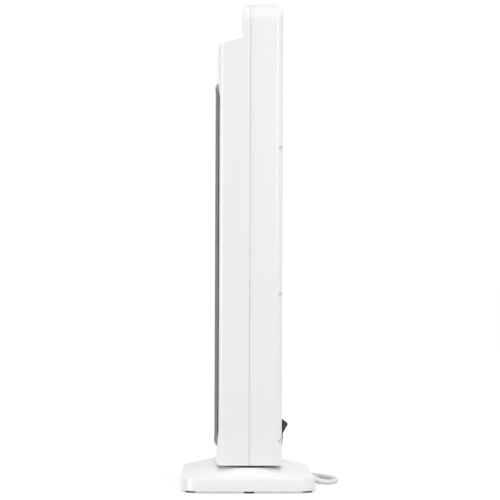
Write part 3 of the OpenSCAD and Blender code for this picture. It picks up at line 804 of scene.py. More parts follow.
    def piece(
        self,
        name: str,
        finish: Finish,
        body: str,
        stands_for: Sequence[str] = (),
        edge: float = 0.0,
        angle: float = 32.0,
        segments: int = 2,
    ) -> bpy.types.Object:
        """Turns the solid into a piece.

        Args:
            name: The piece's name.
            finish: Its finish.
            body: The body that it rides on.
            stands_for: The nodes that it replaces.
            edge: Width of the rounding on its sharp edges.
            angle: How sharp an edge has to be to count.
            segments: Faces across that rounding.

        Returns:
            The piece's object.
        """
        self.scaled(MM, MM, MM)
        for face in self.bm.faces:
            face.smooth = True
        limit = math.radians(angle)
        if not edge:
            for e in self.bm.edges:
                e.smooth = len(e.link_faces) == 2 and e.calc_face_angle(0) < limit
        mesh = bpy.data.meshes.new(name)
        self.bm.to_mesh(mesh)
        self.bm.free()
        made = bpy.data.objects.new(name, mesh)
        bpy.context.scene.collection.objects.link(made)
        if edge:
            ease = made.modifiers.new("ease", "BEVEL")
            ease.width = edge * MM
            ease.segments = segments
            ease.limit_method = "ANGLE"
            ease.angle_limit = limit
            ease.harden_normals = True
            ease.miter_outer = "MITER_ARC"
        mesh.materials.append(finish.material())
        return Pieces.seat(made, finish, body, stands_for)


class Pieces:
    """Seats pieces on the frame's bodies, and keeps count of them."""

    seated: list[str] = []

    @classmethod
    def seat(
        cls, made: bpy.types.Object, finish: Finish, body: str, stands_for: Sequence[str] = ()
    ) -> bpy.types.Object:
        """Makes an object ride on a body and stand for nodes.

        Args:
            made: The object, in its place.
            finish: Its finish.
            body: The body that it rides on.
            stands_for: The nodes that it replaces.

        Returns:
            The object.
        """
        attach(made, body)
        finish.other_slot or finish.name
        if stands_for:
            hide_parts(*stands_for)
        cls.seated.append(made.name)
        LOG.info("piece %s rides on %s, in %s", made.name, body, finish.name)
        return made

    @staticmethod
    def dress(finish: Finish, *nodes: str) -> None:
        """Gives a finish to nodes that are shown as they are."""
        for name in nodes:
            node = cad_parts[name]
            if not node.data.materials:
                node.data.materials.append(finish.material())
            for place in node.material_slots:
                place.material = finish.material()
            LOG.info("node %s carried over in %s", name, finish.name)


# ---- Studio ----


@dataclass(frozen=True)
class Studio:
    """Camera, floor and soft light.

    Attributes:
        eye: Where the camera stands, in metres.
        ahead: The way that it looks.
        roll: How far it leans, in degrees.
        lens: Its focal length, in millimetres on a 36 mm sensor.
        sky: Brightness of the light from all round.
        overhead: Strength of the lamp overhead.
    """

    eye: Point = (2.8347, -0.0861, 0.313)
    ahead: Point = (-0.99951, 0.0314, 0.0)
    roll: float = 0.23
    lens: float = 153.1
    sky: float = 0.58
    overhead: float = 0.6

    def camera(self) -> None:
        """Makes the camera."""
        data = bpy.data.cameras.new("camera")
        data.lens = self.lens
        data.sensor_width = 36.0
        data.clip_start, data.clip_end = 0.05, 60.0
        made = bpy.data.objects.new("camera", data)
        bpy.context.scene.collection.objects.link(made)
        turn = Vector(self.ahead).to_track_quat("-Z", "Y").to_matrix()
        lean = Matrix.Rotation(math.radians(self.roll), 3, "Z")
        made.matrix_world = Matrix.Translation(self.eye) @ (turn @ lean).to_4x4()
        bpy.context.scene.camera = made

    @staticmethod
    def sight(w: Wiring) -> bpy.types.NodeSocket:
        """Tells the rays that see the surroundings, straight or in a reflection."""
        rays = w.add("ShaderNodeLightPath").outputs
        seen = {0: rays["Is Camera Ray"], 1: rays["Is Glossy Ray"]}
        return w.add("ShaderNodeMath", seen, operation="MAXIMUM").outputs[0]

    def floor(self) -> None:
        """Makes a plain pale floor that runs out of sight."""
        bm = bmesh.new()
        bmesh.ops.create_circle(bm, cap_ends=True, segments=96, radius=14.0)
        mesh = bpy.data.meshes.new("floor")
        bm.to_mesh(mesh)
        bm.free()
        made = bpy.data.objects.new("floor", mesh)
        bpy.context.scene.collection.objects.link(made)
        paint = bpy.data.materials.new("pale_floor")
        paint.use_nodes = True
        shader = paint.node_tree.nodes["Principled BSDF"]
        shader.inputs["Base Color"].default_value = (0.6, 0.6, 0.6, 1)
        shader.inputs["Roughness"].default_value = 0.9
        shader.inputs["Specular IOR Level"].default_value = 0.1
        shader.inputs["Emission Color"].default_value = (1, 1, 1, 1)
        w = Wiring(paint.node_tree)
        glow = w.add("ShaderNodeMath", {0: self.sight(w), 1: 0.54}, operation="MULTIPLY")
        paint.node_tree.links.new(glow.outputs[0], shader.inputs["Emission Strength"])
        mesh.materials.append(paint)

    def lamp(self, name: str, at: Point, aim: Point, size: float, watts: float) -> None:
        """Hangs a soft square lamp.

        Args:
            name: The lamp's name.
            at: Where it hangs.
            aim: The point that it faces.
            size: Its width.
            watts: Its power.
        """
        data = bpy.data.lights.new(name, "AREA")
        data.size = size
        data.energy = watts
        made = bpy.data.objects.new(name, data)
        bpy.context.scene.collection.objects.link(made)
        turn = (Vector(aim) - Vector(at)).to_track_quat("-Z", "Y")
        made.matrix_world = Matrix.Translation(at) @ turn.to_matrix().to_4x4()
        made.visible_camera = False

    def light(self) -> None:
        """Lights the object softly from all round and from a broad lamp overhead, before white paper."""
        world = bpy.data.worlds.new("studio")
        world.use_nodes = True
        w = Wiring(world.node_tree)
        sky = world.node_tree.nodes["Background"]
        sky.inputs["Color"].default_value = (1, 1, 1, 1)
        strength = w.add("ShaderNodeMapRange", {"Value": self.sight(w), 3: self.sky, 4: 1.05})
        world.node_tree.links.new(strength.outputs[0], sky.inputs["Strength"])
        bpy.context.scene.world = world
        data = bpy.data.lights.new("overhead", "SUN")
        data.energy = self.overhead
        data.angle = math.radians(55)
        made = bpy.data.objects.new("overhead", data)
        bpy.context.scene.collection.objects.link(made)
        made.matrix_world = Vector((-0.4, 0.0, -1.0)).to_track_quat("-Z", "Y").to_matrix().to_4x4()
        self.lamp("key", (2.2, 1.4, 1.4), (0, 0, 0.5), 1.5, 24)
        self.lamp("front", (0.6, -2.6, 0.5), (0, 0, 0.35), 1.2, 20)
        view = bpy.context.scene.view_settings
        view.view_transform = "Standard"
        view.look = "None"

    def build(self) -> None:
        """Makes the camera, the floor and the light."""
        self.camera()
        self.floor()
        self.light()


# ---- Mains lead ----


@dataclass(frozen=True)
class MainsLead:
    """The lead from the base's bushing to its plug, with the spare length coiled.

    Attributes:
        thick: Diameter of the lead.
        coil_at: Middle of the coil.
        outer: Radius of its outermost turn, at the middle of the lead.
        inner: Radius of its innermost turn.
        layers: Height of each layer of turns.
        spiral: Degrees that one layer turns through.
        climb: Degrees that it takes to reach the next layer.
        sweep: Degrees of the whole coil.
        run: Points from the bushing to the coil.
        tail: Points from the coil to the plug.
        plug_at: Middle of the plug, on the floor.
    """

    thick: float = 6.5
    coil_at: tuple[float, float] = (-166.0, 4.0)
    outer: float = 42.5
    inner: float = 27.7
    layers: tuple[float, float, float] = (4.0, 10.6, 17.2)
    spiral: int = 810
    climb: int = 60
    sweep: int = 1890
    run: tuple[Point, ...] = (
        (0, 91.2, 7.5), (0, 94.8, 5.8), (0, 98.5, 4.6), (-0.3, 102, 3.8), (-2, 107, 3.4), (-5, 111.5, 3.3),
        (-9, 115.5, 3.3), (-14, 118.5, 3.3), (-20, 120.5, 3.3), (-27, 121.2, 3.3), (-40, 121, 3.3),
        (-54, 118, 3.3), (-68, 112.5, 3.3), (-81, 104.5, 3.3), (-93, 94.5, 3.3), (-103, 83, 3.3),
        (-111, 70, 3.3), (-117, 55.5, 3.4), (-121, 40.5, 3.6), (-123, 25, 3.8), (-123.4, 14, 4),
    )
    tail: tuple[Point, ...] = (
        (-176, -38.5, 17.1), (-186, -38.5, 16.6), (-196, -38.3, 15.4), (-205, -37, 13.8),
        (-213.5, -33.5, 12.2), (-220.5, -28, 11), (-226, -21, 10.3), (-229.5, -12.5, 10), (-230.5, -5, 10),
        (-230.5, 0, 10),
    )
    plug_at: tuple[float, float] = (-230.5, 37.0)

    def turns(self) -> list[Point]:
        """Points of the coil, 24 to a turn: in along the floor, out over it, and once more on top."""
        low, middle, high = self.layers
        outward, last = self.spiral + self.climb, 2 * self.spiral + self.climb
        made = []
        for angle in range(0, self.sweep + 1, 15):
            if angle <= self.spiral:
                radius, height = self.outer + (self.inner - self.outer) * angle / self.spiral, low
            elif angle <= outward:
                radius, height = self.inner, low + (middle - low) * ((angle - self.spiral) / self.climb)
            elif angle <= last:
                share = (angle - outward) / self.spiral
                radius, height = self.inner + (self.outer - self.inner) * share, middle
            else:
                radius, height = self.outer, middle + (high - middle) * min(1.0, (angle - last) / self.climb)
            x, y = polar(radius, -angle)
            made.append((self.coil_at[0] + x, self.coil_at[1] + y, height))
        return made

    def lead(self) -> bpy.types.Object:
        """Makes the lead itself as one open spline."""
        points = [*self.run, *self.turns(), *self.tail]
        data = bpy.data.curves.new("mains_lead", "CURVE")
        data.dimensions = "3D"
        data.bevel_depth = self.thick / 2 * MM
        data.bevel_resolution = 5
        data.resolution_u = 4
        data.use_fill_caps = True
        spline = data.splines.new("NURBS")
        spline.points.add(len(points) - 1)
        for place, point in zip(spline.points, points):
            place.co = (*(c * MM for c in point), 1)
        spline.order_u = 4
        spline.use_endpoint_u = True
        data.materials.append(LEAD_JACKET.material())
        made = bpy.data.objects.new("mains_lead", data)
        bpy.context.scene.collection.objects.link(made)
        return Pieces.seat(made, LEAD_JACKET, "base", ("cord_run", "cord_coil", "cord_lead"))

    def bushing(self) -> bpy.types.Object:
        """Makes the tapered strain relief, ribbed where it bends."""
        profile = [(0, -13), (3.6, -13), (3.95, -12.6)]
        for k in range(4):
            foot = -12.2 + 2.9 * k
            radius = 3.95 + 0.2 * k
            neck = radius - 0.7
            profile += [(radius, foot), (radius, foot + 1.7), (neck, foot + 1.9), (neck, foot + 2.7)]
        profile += [(4.6, -0.2), (4.6, 7), (0, 7)]
        solid = Solid.lathe(profile, 40).turned(LEAD_LEAN, Axis.X).moved(*LEAD_HOLE)
        solid.shifted(lambda p: Vector((p.x, p.y, max(p.z, 0.6))))
        return solid.piece("strain_relief", LEAD_JACKET, "base", ("cord_bushing",))

    def tie(self) -> bpy.types.Object:
        """Makes the strap that holds the coil, with ribs along its top."""
        low, high = 24.4 - 1.1, 45.9 + 0.8
        strap, inside = (
            Solid.prism(
                [(low + g, foot, r0), (high - g, foot, r0), (high - g, top, r1), (low + g, top, r1)],
                -reach, reach, Axis.Y,
            )
            for g, foot, top, r0, r1, reach in ((0, 0.02, 21.2, 1.4, 3.0, 3), (0.7, 0.62, 20.6, 1, 2.5, 4))
        )
        strap.carved(Carve.CUT, inside)
        ribs = [
            Solid.block((low + 4.6 + 1.5 * k, -2.4, 20.9), (low + 5.2 + 1.5 * k, 2.4, 21.2)) for k in range(8)
        ]
        strap.added(*ribs)
        strap.turned(45, Axis.Z).moved(self.coil_at[0], self.coil_at[1], 0)
        return strap.piece("lead_tie", TIE_PLASTIC, "base", ("cord_tie",), edge=0.15)

    def plug(self) -> list[bpy.types.Object]:
        """Makes the round plug, its strain relief and its pins."""
        x, y = self.plug_at
        shell = Solid.lathe(
            [(0, 0.05), (15.6, 0.05), (17.8, 0.9), (18.7, 2.6), (18.7, 8.2), (18.2, 8.6), (18.2, 9.4),
             (18.7, 9.8), (18.7, 18.6), (18.2, 19.7), (17.2, 20), (0, 20)], 72,
        )
        notches = [Solid.rod(5.2, 30, 40).moved(s * 20.9, 0, 4.8) for s in (-1, 1)]
        shell.carved(Carve.CUT, *notches)
        ribs = [(7.9, 0)]
        for k in range(6):
            radius, foot = 7.6 - 0.55 * k, 2.0 + 4.1 * k
            inner = radius - 1.0
            ribs += [(radius, foot), (radius - 0.12, foot + 2.5), (inner, foot + 2.8), (inner, foot + 3.8)]
        ribs += [(4.2, 26.6), (3.5, 27), (0, 27)]
        neck = Solid.lathe([(0, -4), (7.9, -4), *ribs], 40).turned(90, Axis.X).moved(0, -14.8, 10)
        shell.carved(Carve.JOIN, neck)
        shell.moved(x, y, 0)
        body = shell.piece("plug_shell", PLUG_PLASTIC, "base", ("plug_body",), edge=0.25)
        pins = Solid()
        profile = [(0, 0), (2.9, 0), (2.9, 0.5), (2.4, 0.6), (2.4, 17.2), (2.1, 18.3), (1.3, 19), (0, 19)]
        for s in (-1, 1):
            pins.added(Solid.lathe(profile, 32).moved(x, y + 9.5 * s, 20))
        for s in (-1, 1):
            strip = Solid.block((-1.6, -2.4, 6), (0.4, 2.4, 19.6)).moved(x + s * 15.4, y, 0)
            pins.added(strip)
        return [body, pins.piece("plug_contacts", NICKEL_PIN, "base", ("plug_pins",))]

    def build(self) -> None:
        """Makes the lead and all that is on it."""
        lead = self.lead()
        relief = self.bushing()
        tie = self.tie()
        plug = self.plug()


# ---- Tower ----


@dataclass(frozen=True)
class Tower:
    """The two shells of the tower, its grille and its rear fittings.

    Attributes:
        half: Half the width at the corners.
        front: Distance of the front corners ahead of the axis.
        rear: Distance of the rear corners behind it.
        foot: Height of the lower edge.
        top: Height of the crest.
        wall: Thickness of the shells.
        seam: Half the gap between the shells.
        screw_x: Distance of the case screws from the middle.
        screw_z: Heights of the case screws.
        opening: Half the width of the grille, and the heights of its foot and its head.
        corner_x: Width of the grille's round corners.
        corner_foot: Height of those at its foot.
        corner_head: Height of those at its head.
        mesh_pitch: From one cell of the mesh to the next.
        mesh_web: Width of the web between cells.
    """

    half: float = 85.0
    front: float = 40.5
    rear: float = 42.5
    foot: float = 34.0
    top: float = 634.0
    wall: float = 2.5
    seam: float = 0.15
    screw_x: float = 80.5
    screw_z: tuple[float, ...] = (65.0, 255.0, 445.0)
    opening: Point = (78.0, 57.0, 530.0)
    corner_x: float = 34.0
    corner_foot: float = 22.0
    corner_head: float = 19.0
    mesh_pitch: float = 4.7
    mesh_web: float = 1.3

    def sites(self) -> list[tuple[float, float]]:
        """Places of the case screws, across and up."""
        return [(s * self.screw_x, z) for s in (-1, 1) for z in self.screw_z]

    @staticmethod
    def crown(reach: float, y: float, bow: float, count: int = 14) -> list[Corner]:
        """Points of a crowned edge, from -reach to +reach."""
        steps = [reach * (2 * i / count - 1) for i in range(1, count)]
        return [(x, y + bow * (1 - (x / reach) ** 2), 0.0) for x in steps]

    def solid(self, g: float, low: float) -> Solid:
        """The whole body of the tower.

        Args:
            g: How far it is drawn in all round.
            low: Height of its lower face.

        Returns:
            The solid.
        """
        half, front, rear = self.half - g, self.front - g, self.rear - g
        rear_edge = [(-x, y, r) for x, y, r in self.crown(self.half - 10, rear, 2.5)]
        plan = Solid.prism(
            [(-half, -front, 12 - g), *self.crown(self.half - 12, -front, -1.5), (half, -front, 12 - g),
             (half + 0.8, 0, 0), (half, rear, 10 - g), *rear_edge, (-half, rear, 10 - g),
             (-half - 0.8, 0, 0)],
            low, self.top + 20, segments=12,
        )
        side = Solid.prism(
            [(-90, low - 5, 0), (-90, 579.2 - g, 0), (-self.front, 579.5 - g, 2.5), (-33, 582.3 - g, 8),
             (-7.4 + g, 588.3 - g, 2.6), (-6.9 + g, 600, 0), (-6.6 + g, 614, 40), (-7.2 + g, 634 - g, 1.6),
             (45.2 - g, 632.5 - g, 16 - g), (45.2 - g, 560, 0), (90, 540, 0), (90, low - 5, 0)],
            -120, 120, Axis.X, segments=12,
        )
        wide, high = self.half + 1.1 - g, self.top + 0.4 - g
        shoulders = Solid.prism(
            [(-wide, low - 9, 0), (wide, low - 9, 0), (wide, high, 28.4 - g), (-wide, high, 28.4 - g)],
            -100, 100, Axis.Y, segments=20,
        )
        return plan.carved(Carve.KEEP, side).carved(Carve.KEEP, shoulders)

    def outline(self, g: float, low: float, high: float) -> Solid:
        """The grille's outline, drawn in by g, from one depth to another."""
        half, foot, head = self.opening[0] - g, self.opening[1] + g, self.opening[2] - g
        wide = self.corner_x - g
        made = Solid.plate((-half, low, foot), (half, high, head), wide, Axis.Y, 14)

        def rule(p: Vector) -> Vector:
            """Flattens the round corners to their own heights."""
            if p.z > head - wide:
                return Vector((p.x, p.y, head - (head - p.z) * (self.corner_head - g) / wide))
            if p.z < foot + wide:
                return Vector((p.x, p.y, foot + (p.z - foot) * (self.corner_foot - g) / wide))
            return p

        return made.shifted(rule)

    def slab(self, front: float, back: float) -> Solid:
        """A bowed slab that follows the front, between two depths from its corners."""
        near, far = front - self.front, back - self.front
        ahead = self.crown(79, near, -3.0, 24)
        behind = [(-x, y, r) for x, y, r in self.crown(79, far, -3.0, 24)]
        return Solid.prism(
            [(-79, near, 0), *ahead, (79, near, 0), (79, far, 0), *behind, (-79, far, 0)], 40, 550
        )

    def casing(self) -> Solid:
        """The hollow casing, open below, before it is parted."""
        return self.solid(0, self.foot).carved(Carve.CUT, self.solid(self.wall, self.foot - 8))

    def front_shell(self, casing: Solid) -> bpy.types.Object:
        """Makes the front shell with its grille opening and its control deck."""
        shell = casing.carved(Carve.CUT, Solid.block((-120, -self.seam, 0), (120, 120, 700)))
        shell.carved(Carve.CUT, self.outline(-0.3, -100, -30))
        shell.carved(Carve.CUT, Deck.tray(72.2, 9.2, 3.0, -1.7, 8))
        shell.carved(Carve.CUT, Deck.tray(66, 6, 1.5, -8, 4))
        bosses = [
            Solid.rod(4, 29, 24).turned(90, Axis.X).moved(x, -self.seam, z) for x, z in self.sites()
        ]
        shell.added(*bosses)
        return shell.piece("front_casing", WHITE_CASE, "tower", ("front_shell",), edge=0.5, segments=3)

    def rear_shell(self, casing: Solid) -> bpy.types.Object:
        """Makes the rear shell with its lip, screw wells, air slots and openings."""
        shell = casing.carved(Carve.CUT, Solid.block((-120, -120, 0), (120, self.seam, 700)))
        wide = self.half + 0.8
        inner = Solid.prism(
            [(-wide, -50, 0), (wide, -50, 0), (wide, 634, 28), (-wide, 634, 28)], 0, 4.2, Axis.Y, segments=20
        )

        def drawn_in(p: Vector) -> Vector:
            """Draws the lip in by its clearance, which is wider at the seam."""
            side, top = (0.32, 0.42) if p.y > 1 else (0.75, 0.8)
            return Vector((p.x * (1 - side / wide), p.y, p.z - top))

        inner.shifted(drawn_in)
        lip = Solid.block((-120, -1, -40), (120, 4.19, 700)).carved(Carve.CUT, inner)
        shell.carved(Carve.CUT, lip)
        wells = Solid()
        for x, z in self.sites():
            well = Solid.rod(5.6, 42 - self.seam, 36).turned(-90, Axis.X)
            wells.added(well.moved(x, self.seam, z))
        wells.carved(Carve.KEEP, self.solid(0.6, self.foot))
        shell.carved(Carve.JOIN, wells)
        grip = Solid.block((-48, 20, 599), (48, 60, 622))
        switch = Solid.block((-12.7, 30, 54), (12.7, 60, 88.8))
        shell.carved(Carve.CUT, grip, switch)
        shell.carved(Carve.CUT, Solid.plate((-14.2, 44.15, 52.3), (14.2, 60, 90.5), 2.6, Axis.Y))
        slots = [
            Solid.plate((x - 1.6, 34, z), (x + 1.6, 60, z + 88), 1.5, Axis.Y, 4)
            for x in range(-49, 50, 7) for z in range(122, 411, 96)
        ]
        shell.carved(Carve.CUT, *slots)
        holes = [
            Solid.rod(r, 60, 32).turned(-90, Axis.X).moved(x, y, z)
            for x, z in self.sites() for r, y in ((1.8, -1), (3.5, 33))
        ]
        shell.carved(Carve.CUT, *holes)
        return shell.piece("rear_casing", WHITE_CASE, "tower", ("rear_shell",), edge=0.4)

    def grille(self) -> None:
        """Makes the gloss frame of the grille and the honeycomb mesh in it."""
        ring = self.outline(0, -60, -20).carved(Carve.CUT, self.outline(4.2, -70, -10))
        ring.carved(Carve.KEEP, self.slab(-0.6, 2))
        ring.piece("grille_frame", GLOSS_BLACK, "tower", ("front_grille",), edge=0.5)
        step, middle = self.mesh_pitch * math.sqrt(3) / 2, (self.opening[1] + self.opening[2]) / 2
        radii = (self.mesh_pitch / math.sqrt(3), (self.mesh_pitch - self.mesh_web) / math.sqrt(3))
        sheet = Solid()
        for column in range(-18, 19):
            for row in range(-51, 51):
                x, z = column * step, middle + (row + 0.5 * (column % 2)) * self.mesh_pitch
                if not self.within(x, z, 2.6):
                    continue
                wide, narrow = (
                    [sheet.bm.verts.new((x + u, 0, z + v)) for u, v in (polar(r, 60 * k) for k in range(6))]
                    for r in radii
                )
                for k in range(6):
                    n = (k + 1) % 6
                    sheet.bm.faces.new((wide[k], wide[n], narrow[n], narrow[k]))
        bmesh.ops.remove_doubles(sheet.bm, verts=sheet.bm.verts, dist=0.05)
        sheet.shifted(lambda p: Vector((p.x, -self.front - 0.1 - 3.0 * (1 - (p.x / 79) ** 2), p.z)))
        bmesh.ops.recalc_face_normals(sheet.bm, faces=sheet.bm.faces)
        bmesh.ops.solidify(sheet.bm, geom=list(sheet.bm.faces), thickness=1.3)
        sheet.piece("grille_mesh", GLOSS_BLACK, "tower", angle=50)

    def within(self, x: float, z: float, g: float) -> bool:
        """Whether a point is inside the grille's outline, drawn in by g."""
        half, foot, head = self.opening
        if abs(x) > half - g or not foot + g < z < head - g:
            return False
        if z > (foot + head) / 2:
            tall, up = self.corner_head - g, z - (head - self.corner_head)
        else:
            tall, up = self.corner_foot - g, foot + self.corner_foot - z
        out = abs(x) - (half - self.corner_x)
        return out <= 0 or up <= 0 or (out / (self.corner_x - g)) ** 2 + (up / tall) ** 2 < 1

    def filter(self) -> None:
        """Makes the intake filter: a frame with ribs and a woven net."""
        frame_solid = Solid.plate((-56, 38, 116), (56, 39.6, 508), 3, Axis.Y)
        windows = [
            Solid.plate((x - 16, 30, z), (x + 16, 60, z + 34), 1, Axis.Y, 3)
            for x in (-35, 0, 35) for z in [121 + 38.5 * k for k in range(10)]
        ]
        frame_solid.carved(Carve.CUT, *windows)
        frame_solid.piece("filter_frame", FILTER_MESH, "tower", ("intake_filter",), edge=0.25)
        net = Solid()
        bmesh.ops.create_grid(net.bm, x_segments=32, y_segments=112, size=0.5)
        net.scaled(110, 390, 1).turned(90, Axis.X).moved(0, 38.9, 312)
        holes = bmesh.ops.inset_individual(net.bm, faces=list(net.bm.faces), thickness=0.55)["faces"]
        bmesh.ops.delete(net.bm, geom=[f for f in net.bm.faces if f not in set(holes)], context="FACES")
        bmesh.ops.solidify(net.bm, geom=list(net.bm.faces), thickness=0.35)
        net.piece("filter_net", FILTER_MESH, "tower", angle=50)

    def grip(self) -> None:
        """Makes the black cup of the finger grip, with its ribs."""
        cup = Solid.plate((-47.8, 22, 599.2), (47.8, 45.3, 621.8), 4, Axis.Y)
        cup.carved(Carve.CUT, Solid.plate((-46, 24, 601), (46, 60, 619.8), 3, Axis.Y))
        cup.carved(Carve.KEEP, self.solid(0.05, self.foot))
        ribs = [Solid.block((x - 0.6, 23.5, 602.5), (x + 0.6, 24.8, 618.5)) for x in range(-40, 41, 8)]
        cup.carved(Carve.JOIN, *ribs)
        cup.piece("grip_cup", SATIN_BLACK, "tower", ("grip_insert",), edge=0.5, segments=3)

    def screws(self) -> None:
        """Makes the case screws with their cross recesses."""
        made = Solid()
        for x, z in self.sites():
            made.added(Screw(3.2, 1.32, 2.4, 51).solid().turned(-90, Axis.X).moved(x, 35.4, z))
        made.piece("case_screw_set", ZINC_STEEL, "tower", ("case_screws",))

    def build(self) -> None:
        """Makes the tower's shells and fittings."""
        casing = self.casing()
        self.front_shell(casing.copy())
        self.rear_shell(casing)
        self.grille()
        self.filter()
        self.grip()
        self.screws()
        Switch().build()
        Deck().build()
        Pieces.dress(BASE_FLOOR, "turntable")


@dataclass(frozen=True)
class Screw:
    """A pan-head screw that stands on its tip end, head up.

    Attributes:
        head: Radius of its head.
        shank: Radius of its shank.
        height: Height of its head.
        length: Length from the top of its head to its tip.
    """

    head: float
    shank: float
    height: float
    length: float

    def solid(self) -> Solid:
        """The screw, with the top of its head at the origin and its tip below."""
        body = Solid.lathe(
            [(0, -self.length), (self.shank * 0.4, -self.length), (self.shank, -self.length + 2),
             (self.shank, -self.height), (self.head, -self.height), (self.head, -self.height * 0.55),
             (self.head * 0.8, -self.height * 0.12), (self.head * 0.4, 0), (0, 0)], 24,
        )
        arm = self.head * 0.62
        cross = [
            Solid.block((-arm, -0.35, -1.3), (arm, 0.35, 1)),
            Solid.block((-0.35, -arm, -1.3), (0.35, arm, 1)),
        ]
        return body.carved(Carve.CUT, cross[0]).carved(Carve.CUT, cross[1])


@dataclass(frozen=True)
class Switch:
    """The mains rocker in the back of the tower.

    Attributes:
        y: Distance of its pivot behind the axis.
        z: Height of its pivot.
        width: Width of the rocker.
        reach: From the middle of the rocker to its tip.
        face: From the pivot to the middle of the rocker's face.
        vee: Angle of each half of the face.
        tilt: Its lean at rest.
        mark_z: From the middle of the rocker to each of its marks.
    """

    y: float = 41.0
    z: float = 71.4
    width: float = 20.0
    reach: float = 13.6
    face: float = 6.6
    vee: float = 13.0
    tilt: float = 16.0
    mark_z: float = 7.0

    def rocker(self) -> None:
        """Makes the rocker with a dished face, and its two marks."""
        tip_u = self.face + self.reach * math.tan(math.radians(self.vee))
        radius = math.hypot(tip_u, self.reach)
        first = math.degrees(math.atan2(self.reach, tip_u))
        arc = [first + (84 - first) * i / 8 for i in range(9)]
        upper = [(*polar(radius, a), 0.0) for a in arc]
        lower = [(u, -v, r) for u, v, r in reversed(upper)]
        upper[0], lower[-1] = (*upper[0][:2], 0.5), (*lower[-1][:2], 0.5)
        solid = Solid.prism(
            [(self.face, 0, 2.0), *upper, (-3, 5, 0), (-3, -5, 0), *lower],
            -self.width / 2, self.width / 2, Axis.X, segments=4,
        )
        solid.added(Solid.rod(1.5, 23, 24).moved(0, 0, -11.5).turned(90, Axis.Y))
        self.placed(solid).piece("rocker_key", SATIN_BLACK, "rocker", ("rocker",), edge=0.45, segments=3)
        marks = self.ring(1.7, 2.3, 0.3).turned(-90, Axis.X)
        seat = self.face + self.mark_z * math.tan(math.radians(self.vee))
        marks.turned(-self.vee, Axis.X).moved(0, seat - 0.1, -self.mark_z)
        bar = Solid.block((-0.35, -0.15, -2.2), (0.35, 0.15, 2.2)).turned(self.vee, Axis.X)
        bar.moved(0, seat, self.mark_z)
        self.placed(marks.added(bar)).piece("rocker_marks", PALE_MARK, "rocker")

    @staticmethod
    def ring(inner: float, outer: float, height: float) -> Solid:
        """A flat ring on the origin."""
        made = Solid.rod(outer, height, 32)
        return made.carved(Carve.CUT, Solid.rod(inner, height + 2, 32).moved(0, 0, -1))

    def placed(self, solid: Solid) -> Solid:
        """Leans a solid to the rocker's rest and sets it on its pivot."""
        return solid.turned(-self.tilt, Axis.X).moved(0, self.y, self.z)

    def housing(self) -> None:
        """Makes the switch body with its flange, and its blades."""
        z = self.z
        body = Solid.plate((-14, 44.2, z - 18.9), (14, 46.2, z + 18.9), 2.5, Axis.Y)
        body.carved(Carve.JOIN, Solid.block((-12.5, 20, z - 17.2), (12.5, 45, z + 17.2)))
        body.carved(
            Carve.CUT,
            Solid.rod(16.95, 20.6, 64).moved(0, 0, -10.3).turned(90, Axis.Y).moved(0, self.y, z),
            Solid.plate((-10.3, self.y, z - 16.95), (10.3, 60, z + 16.95), 1, Axis.Y, 4),
            Solid.rod(1.55, 23.4, 24).moved(0, 0, -11.7).turned(90, Axis.Y).moved(0, self.y, z),
        )
        body.piece("switch_body", SATIN_BLACK, "tower", ("rocker_housing",), edge=0.4, segments=3)
        blades = Solid()
        for dz in (-10, 0, 10):
            blades.added(Solid.block((-3, 12, z + dz - 0.4), (3, 20, z + dz + 0.4)))
        blades.piece("switch_blades", NICKEL_PIN, "tower", edge=0.12)

    def build(self) -> None:
        """Makes the rocker and its housing."""
        self.rocker()
        self.housing()


